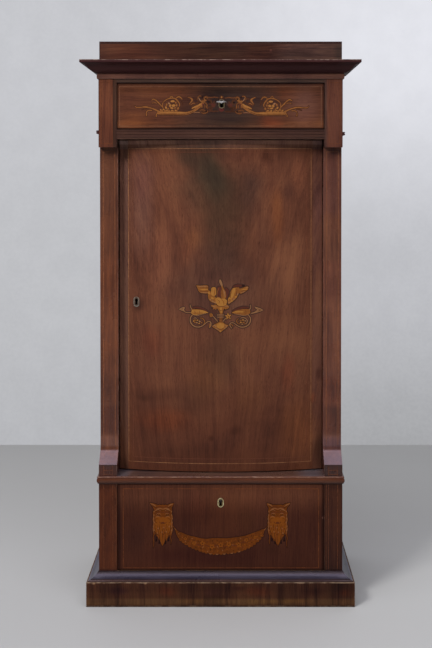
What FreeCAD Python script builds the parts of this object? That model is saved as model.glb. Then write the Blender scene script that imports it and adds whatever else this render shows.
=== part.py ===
import FreeCAD, Part
import math
import os

# Tall narrow cupboard with a bow-fronted door between a frieze drawer and a deep base drawer.
# Millimetres. +Z is up, the front faces -Y, +X is to the right as seen from the front.
# The origin is on the floor, at the centre of the overall footprint.
# "d" is a depth measured backwards from the front plane of the lower carcass; y = d - D_MID.

V = FreeCAD.Vector

# ---------------------------------------------------------------- driving dimensions
HALF_W = 390.5          # half width of the carcass
OPEN_HALF = 332.5       # half width of every opening between the posts
DRAWER_HALF = 330.7     # half width of both drawer fronts
CASE_DEPTH = 420.0      # front plane of the lower carcass to the back
CORNICE_RUN = 53.5      # how far the cornice stands out from the frieze
FRIEZE_D = 11.0         # the frieze is set back from the lower carcass by this much
PILASTER_D = 45.0       # the pilasters are set back from the lower carcass by this much
POST_BACK_D = 112.0     # back face of the pilasters
D_MID = (CASE_DEPTH + FRIEZE_D - CORNICE_RUN) / 2.0

SIDE_T = 19.0           # side boards
BOARD_T = 12.0          # back boards
DRAWER_T = 12.0         # drawer sides
FRONT_T = 22.0          # drawer fronts

PLINTH_RUN = 36.5
PLINTH_T = 30.0
PLINTH_TOP = 77.5
BASE_MOULD_RUN = 31.5
BASE_MOULD_LIP = 3.4
BASE_MOULD_TOP = 103.0
BASE_BOARD_TOP = 103.0

LEDGE_Z0, LEDGE_Z1 = 384.0, 407.0
LEDGE_RUN = 6.5
FOOT_TOP = 444.0        # top of the upright block below each pilaster
SWEEP_CORNER = 482.0    # where the slope of the sweep would meet the pilaster's face
SWEEP_R = 24.0          # hollow that eases the slope into the face
BLOCK_Z0 = 1462.0       # underside of the frieze blocks
MID_Z0, MID_Z1 = 1488.3, 1520.6
FRIEZE_RAIL_Z0 = 1667.2
NECK_Z0, NECK_Z1 = 1680.0, 1697.0
NECK_RUN = 5.0
FILLET_Z0, CORNICE_TOP = 1728.0, 1737.0
TOP_T = 12.0
ATTIC_HALF = 389.0
ATTIC_D = 23.0
ATTIC_T = 16.0
ATTIC_TOP = 1801.0
ATTIC_LID_T = 8.0

LOWER_FRONT_Z = (104.7, 382.0)
UPPER_FRONT_Z = (1522.2, 1665.0)
DOOR_Z = (410.5, 1485.5)
DOOR_HALF = 330.5
DOOR_T = 22.0
DOOR_CENTRE_D = 40.0    # depth of the door's outer face at its middle
DOOR_EDGE_D = 80.0      # depth of the door's outer face at its edges
SAG = DOOR_EDGE_D - DOOR_CENTRE_D
DOOR_R = (DOOR_HALF ** 2 + SAG ** 2) / (2.0 * SAG)   # outer radius of the bow
DOOR_CD = DOOR_CENTRE_D + DOOR_R                     # depth of the bow's axis

PIVOT_X = 302.5         # door pivot, set in from the door's edge so that the bow clears the pilaster's foot
PIVOT_D = 84.0
PIN_R, PIN_BORE_R = 4.0, 4.05

KEY_X, KEY_Z = 3.0, 1605.0
LOWER_KEY_X, LOWER_KEY_Z = 0.0, 326.5
DOOR_KEY_X, DOOR_KEY_Z = -275.6, 965.0
BOLT_THROW = 8.0
DOOR_BOLT_THROW = 10.0

DRAWER_BACK_D = 386.0
SHELF_Z = (745.0, 1110.0)
SHELF_T = 18.0


# ---------------------------------------------------------------- helpers
def yy(d):
    return d - D_MID


def box(x0, x1, d0, d1, z0, z1):
    return Part.makeBox(x1 - x0, d1 - d0, z1 - z0, V(x0, yy(d0), z0))


def face_of(segments):
    """A face from a list of ('L', a, b) and ('A', a, mid, b) segments."""
    edges = []
    for s in segments:
        if s[0] == "L":
            edges.append(Part.makeLine(s[1], s[2]))
        else:
            edges.append(Part.Arc(s[1], s[2], s[3]).toShape())
    return Part.Face(Part.Wire(edges))


def loop(points, place):
    """Closed outline. A point is (a, b), or (a, b, ma, mb) when the edge that ends there is an arc through (ma, mb)."""
    segs = []
    n = len(points)
    for i in range(n):
        p, q = points[i], points[(i + 1) % n]
        a, b = place(p[0], p[1]), place(q[0], q[1])
        if len(q) == 4:
            segs.append(("A", a, place(q[2], q[3]), b))
        else:
            segs.append(("L", a, b))
    return face_of(segs)


def prism_z(points, z0, z1):
    """Outline in (x, d), drawn upwards from z0 to z1."""
    return loop(points, lambda x, d: V(x, yy(d), z0)).extrude(V(0, 0, z1 - z0))


def prism_x(points, x0, x1):
    """Outline in (d, z), drawn along X from x0 to x1."""
    return loop(points, lambda d, z: V(x0, yy(d), z)).extrude(V(x1 - x0, 0, 0))


def cyl(x, d, z, r, length, axis):
    return Part.makeCylinder(r, length, V(x, yy(d), z), axis)


def cut(a, *tools):
    for t in tools:
        a = a.cut(t)
    return a


def together(*solids):
    return Part.makeCompound([s for sh in solids for s in sh.Solids])


def one(shape):
    shape = shape.removeSplitter()
    return shape.Solids[0] if len(shape.Solids) == 1 else shape


def moulding_front(profile, d_face, half, run):
    """Profile in (projection, z), fixed to the plane at d_face, mitred at both ends."""
    raw = prism_x([(d_face - p[0], p[1]) + ((d_face - p[2], p[3]) if len(p) == 4 else ()) for p in profile],
                  -half - run, half + run)
    wedge = prism_z([(-half - run - 5, d_face - run - 5), (half + run + 5, d_face - run - 5), (half, d_face), (-half, d_face)], -10, 2000)
    return one(raw.common(wedge))


def moulding_side(profile, side, half, d_face, run, d_back):
    """The same profile returned along one side, mitred at its front end."""
    place = lambda p, z: V(side * (half + p), yy(d_face - run - 5), z)
    raw = loop(profile, place).extrude(V(0, d_back - d_face + run + 5, 0))
    wedge = prism_z([(side * half, d_face), (side * (half + run + 5), d_face - run - 5), (side * (half + run + 5), d_back), (side * half, d_back)], -10, 2000)
    return one(raw.common(wedge))


def keyhole(x, z, d0, d1, r=5.2, w0=5.6, w1=8.8, drop=14.6):
    """A round head with a slot that widens downwards, cut along Y."""
    head = Part.makeCylinder(r, d1 - d0, V(x, yy(d0), z), V(0, 1, 0))
    pts = [(x - w0 / 2, z - 1.0), (x + w0 / 2, z - 1.0), (x + w1 / 2, z - drop), (x - w1 / 2, z - drop)]
    wire = Part.makePolygon([V(a, yy(d0), b) for a, b in pts + pts[:1]])
    return one(head.fuse(Part.Face(wire).extrude(V(0, d1 - d0, 0))))


def oval(x, z, d0, d1, w, h):
    """A plate with straight sides and round ends, w wide and h high, centred on (x, z)."""
    r = w / 2.0
    s = h / 2.0 - r
    f = face_of([
        ("L", V(x - r, yy(d0), z + s), V(x - r, yy(d0), z - s)),
        ("A", V(x - r, yy(d0), z - s), V(x, yy(d0), z - s - r), V(x + r, yy(d0), z - s)),
        ("L", V(x + r, yy(d0), z - s), V(x + r, yy(d0), z + s)),
        ("A", V(x + r, yy(d0), z + s), V(x, yy(d0), z + s + r), V(x - r, yy(d0), z + s)),
    ])
    return f.extrude(V(0, d1 - d0, 0))


def screw(x, y, z, direction, length=12.0, r=1.5, head_r=3.2):
    """Countersunk wood screw. (x, y, z) is the centre of its head, and direction is the way it is driven."""
    head = Part.makeCone(head_r, r, 1.8, V(x, y, z), V(*direction))
    shank = Part.makeCylinder(r, length, V(x, y, z), V(*direction))
    s = one(head.fuse(shank))
    b = Part.makeBox(0.8, 2 * head_r + 2, 0.9, V(-0.4, -head_r - 1, 0.0))
    rot = FreeCAD.Rotation(V(0, 0, 1), V(*direction))
    b.Placement = FreeCAD.Placement(V(x, y, z), rot)
    return one(s.cut(b))


def face_depth(x, offset=0.0):
    """Depth of the bowed door's surface at x, offset inwards from its outer face."""
    r = DOOR_R - offset
    return DOOR_CD - math.sqrt(r * r - x * x)


parts = {}

# ---------------------------------------------------------------- plinth
P_HALF = HALF_W + PLINTH_RUN
parts["plinth_front"] = one(box(-P_HALF, P_HALF, -PLINTH_RUN, -PLINTH_RUN + PLINTH_T, 0, PLINTH_TOP).common(
    prism_z([(-P_HALF, -PLINTH_RUN), (P_HALF, -PLINTH_RUN), (P_HALF - PLINTH_T, -PLINTH_RUN + PLINTH_T), (-P_HALF + PLINTH_T, -PLINTH_RUN + PLINTH_T)], -1, 100)))
sides = []
for s in (-1, 1):
    sides.append(prism_z([(s * P_HALF, -PLINTH_RUN), (s * P_HALF, CASE_DEPTH), (s * (P_HALF - PLINTH_T), CASE_DEPTH), (s * (P_HALF - PLINTH_T), -PLINTH_RUN + PLINTH_T)], 0, PLINTH_TOP))
parts["plinth_sides"] = together(*sides)
parts["plinth_back"] = box(-P_HALF + PLINTH_T, P_HALF - PLINTH_T, CASE_DEPTH - 25, CASE_DEPTH, 0, PLINTH_TOP)
blocks = []
BLK = 60.0
for s in (-1, 1):
    x0, x1 = sorted((s * (P_HALF - PLINTH_T), s * (P_HALF - PLINTH_T - BLK)))
    blocks.append(box(x0, x1, -PLINTH_RUN + PLINTH_T, -PLINTH_RUN + PLINTH_T + BLK, 0, PLINTH_TOP))
    blocks.append(box(x0, x1, CASE_DEPTH - 25 - BLK, CASE_DEPTH - 25, 0, PLINTH_TOP))
parts["plinth_blocks"] = together(*blocks)

# ---------------------------------------------------------------- base moulding on the plinth: a lip, a small step and a hollow up to the case
base_profile = [(0.0, PLINTH_TOP), (BASE_MOULD_RUN, PLINTH_TOP), (BASE_MOULD_RUN, PLINTH_TOP + BASE_MOULD_LIP),
                (24.0, 82.6, 28.4, 82.4), (23.4, 84.8), (1.5, BASE_MOULD_TOP, 10.9, 91.4), (0.0, BASE_MOULD_TOP)]
parts["base_moulding_front"] = moulding_front(base_profile, 0.0, HALF_W, BASE_MOULD_RUN)
parts["base_moulding_sides"] = together(*[moulding_side(base_profile, s, HALF_W, 0.0, BASE_MOULD_RUN, CASE_DEPTH) for s in (-1, 1)])

# ---------------------------------------------------------------- carcass boards
INNER = HALF_W - SIDE_T
STILE_T = 30.0
BACK_D = CASE_DEPTH - 4.0 - BOARD_T      # front face of the back boards
base_board = prism_z([(-OPEN_HALF, 0), (OPEN_HALF, 0), (OPEN_HALF, STILE_T), (INNER, STILE_T), (INNER, BACK_D),
                      (-INNER, BACK_D), (-INNER, STILE_T), (-OPEN_HALF, STILE_T)], PLINTH_TOP, BASE_BOARD_TOP)
TOP_Z0 = CORNICE_TOP - TOP_T
side_profile = [(STILE_T, PLINTH_TOP), (CASE_DEPTH, PLINTH_TOP), (CASE_DEPTH, TOP_Z0), (POST_BACK_D, TOP_Z0), (POST_BACK_D, LEDGE_Z0), (STILE_T, LEDGE_Z0)]
parts["side_panel_left"] = prism_x(side_profile, -HALF_W, -INNER)
parts["side_panel_right"] = prism_x(side_profile, INNER, HALF_W)
for s, n in ((-1, "left"), (1, "right")):
    x0, x1 = sorted((s * OPEN_HALF, s * HALF_W))
    parts["lower_stile_" + n] = box(x0, x1, 0, STILE_T, PLINTH_TOP, LEDGE_Z0)
    # Each pilaster is one post with an upright foot, a slope that eases in a hollow into the face, and a flat shaft.
    rise = SWEEP_CORNER - FOOT_TOP
    slant = math.hypot(PILASTER_D, rise)
    turn = math.acos(rise / slant)
    leg = SWEEP_R * math.tan(turn / 2.0)
    low = (PILASTER_D - leg * PILASTER_D / slant, SWEEP_CORNER - leg * rise / slant)
    high = (PILASTER_D, SWEEP_CORNER + leg)
    k = SWEEP_R / math.hypot(SWEEP_R, leg)
    mid = (PILASTER_D - SWEEP_R + SWEEP_R * k, SWEEP_CORNER + leg - leg * k)
    post = prism_x([(0.0, LEDGE_Z1), (0.0, FOOT_TOP), low, (high[0], high[1], mid[0], mid[1]), (PILASTER_D, BLOCK_Z0),
                    (POST_BACK_D, BLOCK_Z0), (POST_BACK_D, LEDGE_Z1)], x0, x1)
    if s < 0:
        # Mortise for the door's bolt, with a shallow housing for its strike plate.
        post = cut(post, box(-OPEN_HALF - 11.0, -OPEN_HALF + 1.0, 90.0, 106.0, DOOR_KEY_Z - 7.5, DOOR_KEY_Z + 7.5),
                   box(-OPEN_HALF - 1.2, -OPEN_HALF + 1.0, 86.0, 110.0, DOOR_KEY_Z - 22.0, DOOR_KEY_Z + 22.0))
    parts["pilaster_" + n] = one(post)
    parts["frieze_block_" + n] = box(x0, x1, FRIEZE_D, POST_BACK_D, BLOCK_Z0, TOP_Z0)

ledge = prism_z([(-HALF_W, 0), (HALF_W, 0), (HALF_W, POST_BACK_D), (INNER, POST_BACK_D), (INNER, BACK_D), (-INNER, BACK_D), (-INNER, POST_BACK_D), (-HALF_W, POST_BACK_D)],
                LEDGE_Z0, LEDGE_Z1)
ledge_profile = [(0.0, LEDGE_Z0), (LEDGE_RUN - 3.0, LEDGE_Z0), (LEDGE_RUN - 3.0, LEDGE_Z0 + 2.5), (LEDGE_RUN - 3.0, LEDGE_Z1 - 4.0, LEDGE_RUN + 0.0, (LEDGE_Z0 + LEDGE_Z1) / 2.0 - 0.75),
                 (LEDGE_RUN - 1.0, LEDGE_Z1 - 4.0), (LEDGE_RUN - 1.0, LEDGE_Z1 - 1.0), (LEDGE_RUN - 2.0, LEDGE_Z1), (0.0, LEDGE_Z1)]
parts["ledge_moulding"] = together(moulding_front(ledge_profile, 0.0, HALF_W, LEDGE_RUN),
                                   *[moulding_side(ledge_profile, s, HALF_W, 0.0, LEDGE_RUN, CASE_DEPTH) for s in (-1, 1)])

# Rail between the door and the frieze drawer: three faint reeds along its face.
zr0, zr1 = MID_Z0, MID_Z1
mid_profile = [(FRIEZE_D + 1.0, zr0), (FRIEZE_D + 1.0, zr0 + 4.0), (FRIEZE_D, zr0 + 5.0), (FRIEZE_D, zr0 + 13.0), (FRIEZE_D + 1.4, zr0 + 14.2), (FRIEZE_D, zr0 + 15.4),
               (FRIEZE_D, zr0 + 23.0), (FRIEZE_D + 1.4, zr0 + 24.2), (FRIEZE_D, zr0 + 25.4), (FRIEZE_D, zr1), (POST_BACK_D, zr1), (POST_BACK_D, zr0)]
mid_rail = prism_x(mid_profile, -OPEN_HALF, OPEN_HALF)
parts["dust_board"] = box(-INNER, INNER, POST_BACK_D, BACK_D, MID_Z1 - 20.0, MID_Z1)
frieze_rail = box(-OPEN_HALF, OPEN_HALF, FRIEZE_D, FRIEZE_D + FRONT_T, FRIEZE_RAIL_Z0, TOP_Z0)

neck_profile = [(0.0, NECK_Z0), (3.2, NECK_Z0), (NECK_RUN - 0.4, NECK_Z0 + 2.6, 4.2, NECK_Z0 + 0.8), (NECK_RUN - 0.4, NECK_Z1 - 4.2, NECK_RUN, (NECK_Z0 + NECK_Z1) / 2.0 - 0.8),
                (3.0, NECK_Z1 - 2.2, 4.1, NECK_Z1 - 2.8), (3.0, NECK_Z1), (0.0, NECK_Z1)]
parts["neck_moulding"] = together(moulding_front(neck_profile, FRIEZE_D, HALF_W, NECK_RUN),
                                  *[moulding_side(neck_profile, s, HALF_W, FRIEZE_D, NECK_RUN, CASE_DEPTH) for s in (-1, 1)])

# Cornice: an ogee, hollow above and rounded below, under a square fillet.
R0, R1, RM = 3.6, CORNICE_RUN, 29.6
ZM = 1713.6


def bulge(a, b, out):
    """Middle point of an arc from a to b, moved sideways by out."""
    mx, mz = (a[0] + b[0]) / 2, (a[1] + b[1]) / 2
    dx, dz = b[0] - a[0], b[1] - a[1]
    n = math.hypot(dx, dz)
    return mx + out * dz / n, mz - out * dx / n


lo = bulge((R0, NECK_Z1 + 1.0), (RM, ZM), 3.0)
hi = bulge((RM, ZM), (R1 - 1.0, FILLET_Z0), -2.8)
cornice_profile = [(0.0, NECK_Z1), (R0, NECK_Z1), (R0, NECK_Z1 + 1.0), (RM, ZM, lo[0], lo[1]), (R1 - 1.0, FILLET_Z0, hi[0], hi[1]), (R1, FILLET_Z0 + 0.5), (R1, CORNICE_TOP), (0.0, CORNICE_TOP)]
parts["cornice_front"] = moulding_front(cornice_profile, FRIEZE_D, HALF_W, CORNICE_RUN)
parts["cornice_sides"] = together(*[moulding_side(cornice_profile, s, HALF_W, FRIEZE_D, CORNICE_RUN, CASE_DEPTH) for s in (-1, 1)])
parts["top_board"] = box(-HALF_W, HALF_W, FRIEZE_D, CASE_DEPTH, TOP_Z0, CORNICE_TOP)

# Attic: a low box with a thin lid on top of the cornice.
LID_Z0 = ATTIC_TOP - ATTIC_LID_T
parts["attic_front"] = box(-ATTIC_HALF, ATTIC_HALF, ATTIC_D, ATTIC_D + ATTIC_T, CORNICE_TOP, LID_Z0)
parts["attic_sides"] = together(*[box(*sorted((s * ATTIC_HALF, s * (ATTIC_HALF - ATTIC_T))), ATTIC_D + ATTIC_T, CASE_DEPTH, CORNICE_TOP, LID_Z0) for s in (-1, 1)])
parts["attic_back"] = box(-ATTIC_HALF + ATTIC_T, ATTIC_HALF - ATTIC_T, CASE_DEPTH - ATTIC_T, CASE_DEPTH, CORNICE_TOP, LID_Z0)
parts["attic_lid"] = box(-ATTIC_HALF, ATTIC_HALF, ATTIC_D, CASE_DEPTH, LID_Z0, ATTIC_TOP)

# A double bead along each side of the case at the height of the middle rail.
beads = []
for s, zc in ((-1, 1510.5), (1, 1505.5)):
    prof = [(0.0, zc - 5.5), (5.4, zc - 5.5), (5.4, zc, 8.0, zc - 2.75), (5.4, zc + 5.5, 8.0, zc + 2.75), (0.0, zc + 5.5)]
    place = lambda p, z, s=s: V(s * (HALF_W + p), yy(FRIEZE_D + 3.0), z)
    beads.append(loop(prof, place).extrude(V(0, CASE_DEPTH - FRIEZE_D - 3.0, 0)))
parts["side_beads"] = together(*beads)

# Three upright boards close the back.
bw = 2 * INNER / 3.0
parts["back_boards"] = together(*[box(-INNER + i * bw + (0.4 if i else 0), -INNER + (i + 1) * bw - (0.4 if i < 2 else 0), BACK_D, BACK_D + BOARD_T, PLINTH_TOP, TOP_Z0) for i in range(3)])

# Shelves lie loose on cleats that are fixed to the side boards.
cleats = []
for z in SHELF_Z:
    for s in (-1, 1):
        cleats.append(box(*sorted((s * INNER, s * (INNER - 14.0))), POST_BACK_D + 6.0, BACK_D, z - 24.0, z))
parts["shelf_cleats"] = together(*cleats)
for z, n in zip(SHELF_Z, ("lower", "upper")):
    parts["shelf_" + n] = box(-INNER + 1.0, INNER - 1.0, POST_BACK_D + 6.0, BACK_D, z, z + SHELF_T)

# Guides on both sides of each drawer.
guides = []
for s in (-1, 1):
    guides.append(box(*sorted((s * INNER, s * OPEN_HALF)), STILE_T, BACK_D, BASE_BOARD_TOP, BASE_BOARD_TOP + 30.0))
    guides.append(box(*sorted((s * INNER, s * OPEN_HALF)), POST_BACK_D, BACK_D, MID_Z1, MID_Z1 + 30.0))
parts["drawer_guides"] = together(*guides)

# ---------------------------------------------------------------- door and its pivots
hx = DOOR_HALF
door = prism_z([
    (-hx, face_depth(hx)), (hx, face_depth(hx), 0.0, DOOR_CENTRE_D),
    (hx, face_depth(hx, DOOR_T)), (-hx, face_depth(hx, DOOR_T), 0.0, DOOR_CENTRE_D + DOOR_T)], DOOR_Z[0], DOOR_Z[1])

PLATE_T = 3.0
px0, px1 = PIVOT_X - 44.0, PIVOT_X + 10.0
pd0, pd1 = PIVOT_D - 7.0, PIVOT_D + 7.0


def plate(z0, z1):
    return box(px0, px1, pd0, pd1, z0, z1)


frame_low = plate(LEDGE_Z1 - PLATE_T, LEDGE_Z1).fuse(cyl(PIVOT_X, PIVOT_D, LEDGE_Z1 - PLATE_T, PIN_R, PLATE_T + 3.5 + 10.0, V(0, 0, 1)))
frame_high = plate(MID_Z0, MID_Z0 + PLATE_T).fuse(cyl(PIVOT_X, PIVOT_D, MID_Z0 + PLATE_T, PIN_R, PLATE_T + 2.8 + 10.0, V(0, 0, -1)))
door_low = plate(DOOR_Z[0], DOOR_Z[0] + PLATE_T)
door_high = plate(DOOR_Z[1] - PLATE_T, DOOR_Z[1])
sx = (px0 + 7.0, px0 + 27.0)
screws_frame, screws_door = [], []
for x in sx:
    screws_frame.append(screw(x, yy(PIVOT_D), LEDGE_Z1, (0, 0, -1)))
    screws_frame.append(screw(x, yy(PIVOT_D), MID_Z0, (0, 0, 1)))
    screws_door.append(screw(x, yy(PIVOT_D), DOOR_Z[0], (0, 0, 1)))
    screws_door.append(screw(x, yy(PIVOT_D), DOOR_Z[1], (0, 0, -1)))


def hole_for(x, y, z, direction, length=12.0):
    head = Part.makeCone(3.2, 1.5, 1.8, V(x, y, z), V(*direction))
    shank = Part.makeCylinder(1.5, length, V(x, y, z), V(*direction))
    return one(head.fuse(shank))


holes_low = [hole_for(x, yy(PIVOT_D), LEDGE_Z1, (0, 0, -1)) for x in sx]
holes_high = [hole_for(x, yy(PIVOT_D), MID_Z0, (0, 0, 1)) for x in sx]
holes_door = [hole_for(x, yy(PIVOT_D), DOOR_Z[0], (0, 0, 1)) for x in sx]
holes_door_top = [hole_for(x, yy(PIVOT_D), DOOR_Z[1], (0, 0, -1)) for x in sx]
parts["frame_pivots"] = together(one(cut(frame_low, *holes_low)), one(cut(frame_high, *holes_high)))
bore_low = cyl(PIVOT_X, PIVOT_D, DOOR_Z[0] - 1, PIN_BORE_R, PLATE_T + 1.0, V(0, 0, 1))
bore_high = cyl(PIVOT_X, PIVOT_D, DOOR_Z[1] + 1, PIN_BORE_R, PLATE_T + 1.0, V(0, 0, -1))
parts["door_pivots"] = together(one(cut(door_low, bore_low, *holes_door)), one(cut(door_high, bore_high, *holes_door_top)))
door = cut(door, plate(DOOR_Z[0] - 1, DOOR_Z[0] + PLATE_T), plate(DOOR_Z[1] - PLATE_T, DOOR_Z[1] + 1),
           cyl(PIVOT_X, PIVOT_D, DOOR_Z[0], 5.0, 16.0, V(0, 0, 1)), cyl(PIVOT_X, PIVOT_D, DOOR_Z[1], 5.0, 16.0, V(0, 0, -1)),
           *holes_door, *holes_door_top)
ledge = cut(ledge, plate(LEDGE_Z1 - PLATE_T, LEDGE_Z1 + 1), *holes_low)
mid_rail = cut(mid_rail, plate(MID_Z0 - 1, MID_Z0 + PLATE_T), *holes_high)


# ---------------------------------------------------------------- locks
def lock_box(x0, x1, d0, d1, z0, z1, wall=1.5):
    """A hollow iron lock case."""
    return box(x0, x1, d0, d1, z0, z1).cut(box(x0 + wall, x1 - wall, d0 + wall, d1 - wall, z0 + wall, z1 - wall))


def drawer_lock(kx, kz, top_z, front_d, case_w=58.0, tall_below=17.0):
    """Case, bolt, escutcheon, screws and the cuts in the drawer front for a lock whose bolt shoots upwards."""
    inner = front_d + FRONT_T
    d0, d1 = inner - 13.0, inner
    x0, x1 = kx - case_w / 2, kx + case_w / 2
    z0, z1 = kz - tall_below - 3.0, top_z
    case = lock_box(x0, x1, d0, d1, z0, z1)
    bx0, bx1 = kx - 11.0, kx + 11.0
    bd0, bd1 = inner - 6.0, inner - 2.0
    bolt = box(bx0, bx1, bd0, bd1, kz + 4.0, top_z - 0.2)
    bolt = bolt.fuse(box(kx - 19.0, kx + 19.0, bd0, bd1, kz + 4.0, kz + 24.0))
    case = case.cut(box(bx0 - 0.3, bx1 + 0.3, bd0 - 0.3, bd1 + 0.3, z1 - 5.0, z1 + 1.0))
    case = case.cut(keyhole(kx, kz, d0 - 1.0, d0 + 3.0))
    esc = oval(kx, kz - 4.4, front_d - 0.5, front_d + 1.6, 19.6, 30.0)
    esc_cut = oval(kx, kz - 4.4, front_d - 1.0, front_d + 1.6, 19.6, 30.0)
    esc = esc.cut(keyhole(kx, kz, front_d - 2.0, front_d + 3.0))
    pocket = box(x0, x1, d0, d1 + 1.0, z0, z1 + 1.0)
    hole = keyhole(kx, kz, front_d - 2.0, d0 + 0.5)
    fix, fix_holes = [], []
    for x in (x0 + 5.0, x1 - 5.0):
        for z in (z0 + 6.0, z1 - 8.0):
            fix.append(screw(x, yy(d1), z, (0, -1, 0), length=18.0))
            fix_holes.append(hole_for(x, yy(d1), z, (0, -1, 0), length=18.0))
            case = case.cut(hole_for(x, yy(d1), z, (0, -1, 0), length=18.0))
    return {"case": one(case), "bolt": one(bolt), "escutcheon": one(esc), "screws": together(*fix), "cuts": [pocket, esc_cut, hole] + fix_holes}


def drawer(prefix, front_d, zf, lock, side_z0, side_z1, bottom_z):
    front = box(-DRAWER_HALF, DRAWER_HALF, front_d, front_d + FRONT_T, zf[0], zf[1])
    parts[prefix + "_front"] = one(cut(front, *lock["cuts"]))
    b0 = front_d + FRONT_T
    xo, xi = DRAWER_HALF - 0.3, DRAWER_HALF - 0.3 - DRAWER_T
    parts[prefix + "_sides"] = together(*[box(*sorted((s * xo, s * xi)), b0, DRAWER_BACK_D, side_z0, side_z1) for s in (-1, 1)])
    parts[prefix + "_back"] = box(-xi, xi, DRAWER_BACK_D - DRAWER_T, DRAWER_BACK_D, bottom_z + 8.0, side_z1 - 6.0)
    parts[prefix + "_bottom"] = box(-xi, xi, b0, DRAWER_BACK_D, bottom_z, bottom_z + 8.0)
    parts[prefix + "_lock"] = lock["case"]
    parts[prefix + "_bolt"] = lock["bolt"]
    parts[prefix + "_escutcheon"] = lock["escutcheon"]
    parts[prefix + "_screws"] = lock["screws"]


top_lock = drawer_lock(KEY_X, KEY_Z, UPPER_FRONT_Z[1], FRIEZE_D)
low_lock = drawer_lock(LOWER_KEY_X, LOWER_KEY_Z, LOWER_FRONT_Z[1], 0.0)
drawer("top_drawer", FRIEZE_D, UPPER_FRONT_Z, top_lock, MID_Z1 + 0.4, 1656.0, MID_Z1 + 8.0)
drawer("lower_drawer", 0.0, LOWER_FRONT_Z, low_lock, BASE_BOARD_TOP + 0.4, 372.0, BASE_BOARD_TOP + 9.0)

# Strike plates and mortises for the three bolts.
SP = 1.2
ud0, ud1 = FRIEZE_D + FRONT_T - 6.0, FRIEZE_D + FRONT_T - 2.0
ld0, ld1 = FRONT_T - 6.0, FRONT_T - 2.0
frieze_rail = cut(frieze_rail, box(KEY_X - 12.5, KEY_X + 12.5, ud0 - 1.5, ud1 + 1.5, FRIEZE_RAIL_Z0 - 1, FRIEZE_RAIL_Z0 + 10.0),
                  box(KEY_X - 22.0, KEY_X + 22.0, ud0 - 4.0, FRIEZE_D + FRONT_T - 0.0, FRIEZE_RAIL_Z0 - 1, FRIEZE_RAIL_Z0 + SP))
ledge = cut(ledge, box(LOWER_KEY_X - 12.5, LOWER_KEY_X + 12.5, ld0 - 1.5, ld1 + 1.5, LEDGE_Z0 - 1, LEDGE_Z0 + 10.0),
            box(LOWER_KEY_X - 22.0, LOWER_KEY_X + 22.0, ld0 - 4.0, ld1 + 6.0, LEDGE_Z0 - 1, LEDGE_Z0 + SP))
strike_top = box(KEY_X - 22.0, KEY_X + 22.0, ud0 - 4.0, FRIEZE_D + FRONT_T, FRIEZE_RAIL_Z0, FRIEZE_RAIL_Z0 + SP).cut(
    box(KEY_X - 12.0, KEY_X + 12.0, ud0 - 1.0, ud1 + 1.0, FRIEZE_RAIL_Z0 - 1, FRIEZE_RAIL_Z0 + 5))
strike_low = box(LOWER_KEY_X - 22.0, LOWER_KEY_X + 22.0, ld0 - 4.0, ld1 + 6.0, LEDGE_Z0, LEDGE_Z0 + SP).cut(
    box(LOWER_KEY_X - 12.0, LOWER_KEY_X + 12.0, ld0 - 1.0, ld1 + 1.0, LEDGE_Z0 - 1, LEDGE_Z0 + 5))
strike_door = box(-OPEN_HALF - SP, -OPEN_HALF, 86.0, 110.0, DOOR_KEY_Z - 22.0, DOOR_KEY_Z + 22.0).cut(
    box(-OPEN_HALF - SP - 1, -OPEN_HALF + 1, 91.0, 105.0, DOOR_KEY_Z - 7.0, DOOR_KEY_Z + 7.0))
parts["strike_plates"] = together(one(strike_top), one(strike_low), one(strike_door))
parts["frieze_rail"] = one(frieze_rail)
parts["ledge_board"] = one(ledge)
parts["mid_rail"] = one(mid_rail)
parts["base_board"] = base_board
parts["frame_screws"] = together(*screws_frame)

# Door lock. It is drawn square to the origin and then turned to stand square to the bow at the keyhole.
ANGLE = math.degrees(math.asin(DOOR_KEY_X / DOOR_R))
KEY_D = face_depth(DOOR_KEY_X)
DOOR_LOCAL = FreeCAD.Placement(V(DOOR_KEY_X, yy(KEY_D), DOOR_KEY_Z), FreeCAD.Rotation(V(0, 0, 1), ANGLE))


def lbox(x0, x1, y0, y1, z0, z1):
    return Part.makeBox(x1 - x0, y1 - y0, z1 - z0, V(x0, y0, z0))


def placed(shape):
    s = shape.copy()
    s.Placement = DOOR_LOCAL
    return s


cx0, cx1, cy0, cy1, cz0, cz1 = -52.0, 22.0, 9.5, 21.3, -34.0, 26.0
case = lbox(cx0, cx1, cy0, cy1, cz0, cz1).cut(lbox(cx0 + 1.5, cx1 - 1.5, cy0 + 1.5, cy1 - 1.5, cz0 + 1.5, cz1 - 1.5))
by0, by1 = 14.5, 19.0
bolt = lbox(-54.0, -30.0, by0, by1, -5.0, 5.0).fuse(lbox(-34.0, 4.0, by0, by1, 5.0, 15.0)).fuse(lbox(-34.0, -30.0, by0, by1, -5.0, 15.0))
case = case.cut(lbox(cx0 - 1, cx0 + 4, by0 - 0.4, by1 + 0.4, -5.4, 5.4))
local_hole = keyhole(0.0, 0.0, D_MID - 3.0, D_MID + cy0 + 3.0)
case = case.cut(local_hole)
esc = oval(0.0, -5.4, D_MID - 0.35, D_MID + 1.75, 19.8, 33.2)
esc_cut = oval(0.0, -5.4, D_MID - 2.0, D_MID + 1.75, 19.8, 33.2)
esc = esc.cut(keyhole(0.0, 0.0, D_MID - 3.0, D_MID + 3.0))
door_fix, door_fix_holes = [], []
for x in (cx0 + 6.0, cx1 - 6.0):
    for z in (cz0 + 6.0, cz1 - 5.0):
        door_fix.append(screw(x, cy1, z, (0, -1, 0), length=16.0))
        h = hole_for(x, cy1, z, (0, -1, 0), length=16.0)
        door_fix_holes.append(h)
        case = case.cut(h)
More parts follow.
